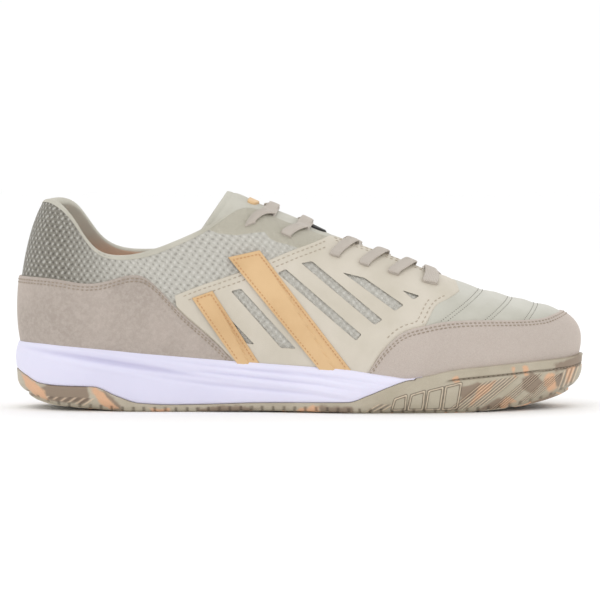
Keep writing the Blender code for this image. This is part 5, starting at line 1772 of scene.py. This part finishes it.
def build_outsole():
    count = 1040
    places = np.linspace(0, 1, count + 1)[:-1]
    points, outward = outline(places)
    x = points[:, 0]
    top, floor = wall_top(x), sole_height("floor", x)
    share = np.concatenate([np.linspace(0, 0.12, 5), np.linspace(0.15, 0.985, 29)])
    knots, draws = (np.array(column) for column in zip(*EDGE_ROUNDING))
    draw = profile_through(knots, draws, share)
    inset = edge_inset(places)
    rows = np.stack(
        [ring(places, -inset * draw[k], floor * (1 - s) + top * s) for k, s in enumerate(share)], axis=1
    )
    view = side_view(rows)
    # Only the sides carry the pattern of the side view, and it fades round the ends
    facing = np.abs(outward[:, 1])[:, None]
    below_top = (top[:, None] - rows[..., 2]) / MM
    ribs, phase = rib_groups(view)
    frames = frame_gap(view)
    clear = smooth_step(0.10, 0.35, facing) * smooth_step(0.6, 1.6, below_top)
    # Small lugs along the lower edge
    above_floor = (rows[..., 2] - floor[:, None]) / MM
    between_lugs = np.abs((rows[..., 0] / MM / LUG_PITCH) % 1.0 - 0.5) * LUG_PITCH
    notch = smooth_step(2.9, 2.1, above_floor) * smooth_step(0.95, 0.45, between_lugs)
    relief = (0.30 * smooth_step(0.9, 0.3, frames) - 0.5 * notch) * clear
    banded = smooth_step(FOXING_START - 0.008, FOXING_START + 0.008, share_of_length(x))[:, None]
    groove = bell(below_top - FOXING_BAND / MM, 0.42) * banded
    lip = 0.25 * smooth_step(0.9, 0.2, np.abs(below_top - 0.7)) * banded
    relief = relief * smooth_step(0.2, 1.0, np.abs(below_top - FOXING_BAND / MM) + (1 - banded))
    out = (relief - groove + lip + 0.05 * waves(rows, 0.012, 21)) * MM
    rows[:, :, :2] += outward[:, None, :] * out[:, :, None]
    under = rows.copy()
    under[:, :, :2] -= outward[:, None, :] * RIM_WALL
    # The foot of the wall slopes up inwards, clear of the tread's underside
    under[:, :, 2] += 0.6 * MM * (1 - share)
    # Round the toe and the heel the rubber is marbled freely
    round_ends = smooth_step(0.26, 0.14, facing)
    values = {
        "brown": patch_depth(view, BROWN) - 9 * round_ends,
        "peach": patch_depth(view, PEACH) - 9 * round_ends,
        "tread": round_ends + np.zeros(view.shape[:2]),
        # groove and notch also darken the rubber with painted shade
        "groove": np.clip(groove, 0, 1),
        # ribs, phase and frames place the painted highlight and shade of the ribs and frames
        "ribs": ribs * smooth_step(0.22, 0.34, facing) * (below_top > FOXING_BAND / MM + 0.6),
        "phase": phase,
        "frames": frames + 3 * (1 - clear),
        "notch": notch * clear,
    }
    lid = ring(places, -0.5 * MM, top)
    lid_in = ring(places, -RIM_WALL, top)
    rows = np.concatenate([rows, np.stack([lid, lid_in], axis=1)], axis=1)
    under = np.concatenate([under, np.stack([lid, lid_in], axis=1) - UP * 1.2 * MM], axis=1)
    values = {key: np.concatenate([v, v[:, -1:], v[:, -1:]], axis=1) for key, v in values.items()}
    piece = slab("outsole_wall", rows, under, RUBBER, wrap=True, values=values)
    recalculate(piece)
    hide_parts("outsole")
    line = ring(places, 0.0, top - FOXING_BAND)
    chosen = share_of_length(x) > FOXING_START + 0.01
    line3 = line[chosen] - np.column_stack([outward, np.zeros(count)])[chosen] * 0.75 * MM
    normals = np.column_stack([outward, np.zeros(count)])[chosen]
    stitch_row("foxing", line3, normals)


def across_sole(t, offset, columns):
    """Flat spots between the two sides of the outline, and their shares across."""
    across = np.linspace(0, 1, columns)
    places = (t * TOE_PLACE, 1 - t * (1 - TOE_PLACE))
    outer, inner = (ring(place, offset(place), 0.0)[:, None, :2] for place in places)
    return outer * (1 - across[None, :, None]) + inner * across[None, :, None], across


def line_pattern(value, pitch, wide, narrow):
    """Grooves where value passes each multiple and a half of the pitch, in mm."""
    return smooth_step(wide, narrow, np.abs((value / pitch) % 1.0 - 0.5) * pitch)


def build_tread():
    """Bottom of the outsole, with herringbone lugs and a turning circle."""
    t = np.linspace(0.001, 0.999, 330)
    flat, across = across_sole(t, lambda place: -edge_inset(place) - 0.02 * MM, 70)
    floor = sole_height("floor", flat[..., 0])
    x, y = flat[..., 0] / MM, flat[..., 1] / MM
    share = share_of_length(flat[..., 0])
    zigzag = np.abs(((y / ZIGZAG_WIDTH) % 1.0) - 0.5) * ZIGZAG_WIDTH
    grooves = line_pattern(x + zigzag, ZIGZAG_PITCH, 0.95, 0.45)
    from_centre = np.hypot(x - TURNING_CENTRE[0], y - TURNING_CENTRE[1])
    in_circle = smooth_step(TURNING_RADIUS + 0.5, TURNING_RADIUS - 0.5, from_centre)
    grooves = grooves * (1 - in_circle) + line_pattern(from_centre, RING_PITCH, 0.9, 0.45) * in_circle
    bridge = smooth_step(0.33, 0.36, share) * smooth_step(0.56, 0.53, share)
    widths = np.linalg.norm(flat[:, 0] - flat[:, -1], axis=1)[:, None]
    from_edge = np.minimum(across, 1 - across)[None, :] * widths / MM
    from_edge = np.minimum(from_edge, np.minimum(t, 1 - t)[:, None] * 300)
    grooves = grooves * (1 - bridge) * smooth_step(3.0, 4.2, from_edge)
    for place in FLEX_GROOVES:
        line = x_of(place) - 0.010 * (flat[..., 1] / (0.6 * BALL_WIDTH)) ** 2
        grooves = np.maximum(grooves, smooth_step(1.5, 1.0, np.abs(flat[..., 0] - line) / MM))
    out = np.dstack([flat, floor + grooves * TREAD_DEPTH])
    under = np.dstack([flat, floor + 2 * TREAD_DEPTH])
    none, away = np.zeros(floor.shape), np.full(floor.shape, 9.0)
    values = {
        # groove also darkens the tread's grooves with painted shade
        "brown": -away, "peach": -away, "tread": none + 1, "groove": grooves * 0.35,
        "ribs": none, "phase": none, "frames": away, "notch": none,
    }
    piece = slab("outsole_tread", out, under, RUBBER, values=values)
    recalculate(piece)
    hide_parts("outsole")


def build_insole():
    t = np.linspace(0.002, 0.998, 100)
    flat, across = across_sole(t, lambda place: -(RIM_WALL + GAP + UPPER_WALL + 2 * GAP), 30)
    bed = sole_height("bed", flat[..., 0]) + GAP
    cup = (2 * across - 1)[None, :] ** 4 * 2.0 * MM * smooth_step(0.62, 0.30, share_of_length(flat[..., 0]))
    out = np.dstack([flat, bed + INSOLE_THICKNESS - 0.9 * MM + cup])
    piece = slab("insole_pad", out, np.dstack([flat, bed]), INSOLE)
    recalculate(piece)
    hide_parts("insole")


# Stage

FLOOR_SIZE = 8.0
# Lamps: name, place, size and watts
LAMPS = (
    ("key", (-0.35, -0.9, 1.25), 0.7, 1.9),
    ("front", (0.7, -1.3, 0.6), 1.0, 0.3),
    ("back", (0.3, 1.0, 1.0), 0.9, 1.2),
)
LAMP_AIM = (0.0, 0.0, 0.04)
SKY_STRENGTH = 1.01
# The camera looks at the middle of the photo from the shoe's outer side
CAMERA_DISTANCE = 2.2
CAMERA_AIM = 0.05437


def build_stage():
    half = FLOOR_SIZE / 2
    points = [(-half, -half, 0), (half, -half, 0), (half, half, 0), (-half, half, 0)]
    floor = make_piece("floor", points, [(0, 1, 2, 3)], floor_finish(), body=None)
    scene = bpy.context.scene
    world = bpy.data.worlds.new("studio")
    world.use_nodes = True
    background = world.node_tree.nodes["Background"]
    background.inputs["Color"].default_value = (1.0, 1.0, 1.0, 1)
    background.inputs["Strength"].default_value = SKY_STRENGTH
    scene.world = world
    scene.view_settings.view_transform = "Standard"
    for name, spot, size, power in LAMPS:
        light = bpy.data.lights.new(name, "AREA")
        light.size = size
        light.energy = power
        lamp = bpy.data.objects.new(name, light)
        lamp.location = spot
        lamp.rotation_euler = aim_angles(np.array(LAMP_AIM) - spot)
        scene.collection.objects.link(lamp)
    camera = bpy.data.cameras.new("photo_camera")
    camera.sensor_width = 36
    camera.lens = camera.sensor_width * CAMERA_DISTANCE / (PHOTO_WIDTH * PX)
    camera.clip_start = 0.05
    viewer = bpy.data.objects.new("photo_camera", camera)
    aim = np.array((0.0, 0.0, CAMERA_AIM / math.cos(CAMERA_TILT)))
    back = np.array((0.0, -math.cos(CAMERA_TILT), math.sin(CAMERA_TILT)))
    viewer.location = aim + back * CAMERA_DISTANCE
    viewer.rotation_euler = aim_angles(-back)
    scene.collection.objects.link(viewer)
    scene.camera = viewer


def aim_angles(way):
    """Turns of a lamp or camera that looks this way, with Z up."""
    flat = math.hypot(way[0], way[1])
    return (math.atan2(flat, -way[2]), 0.0, math.atan2(-way[0], way[1]))


def main():
    build_stage()
    build_knit()
    build_vamp()
    build_lining()
    reach = place_at(0.46, True) - 1.0, place_at(0.46, False)
    build_suede("heel_counter_suede", "heel_counter", COUNTER_EDGE, *reach, 31)
    reach = place_at(0.58, False), place_at(0.58, True)
    build_suede("toe_guard_suede", "toe_guard", TOE_EDGE, *reach, 33)
    for side, inner in (("outer", False), ("inner", True)):
        build_quarter(side, inner)
        stitch_quarter(inner)
        for which, corners in SADDLE_STRAPS:
            build_saddle(side, inner, which, corners)
    stitch_quilts()
    build_tongue()
    build_patch("tongue_patch", "tongue_badge", BADGE_SIDES, BADGE_SPAN, 0.0006, SADDLE, 0.3)
    build_patch("lace_keeper_loop", "lace_keeper", KEEPER_SIDES, KEEPER_SPAN, 0.0005, KEEPER, 0.5)
    for number in range(len(EYELETS) - 1):
        node = f"lace_cross_{number + 1}"
        build_lace(f"lace_over_{number + 1}", number, number + 1, -1, 0.9 * LACE_THICKNESS, [node])
        build_lace(f"lace_under_{number + 1}", number, number + 1, 1, 0.0, [node])
    last = len(EYELETS) - 1
    build_lace("lace_front", last, last, -1, 0.0, ["lace_bar"])
    build_outsole()
    build_tread()
    build_midsole()
    build_insole()
    build_threads()


main()
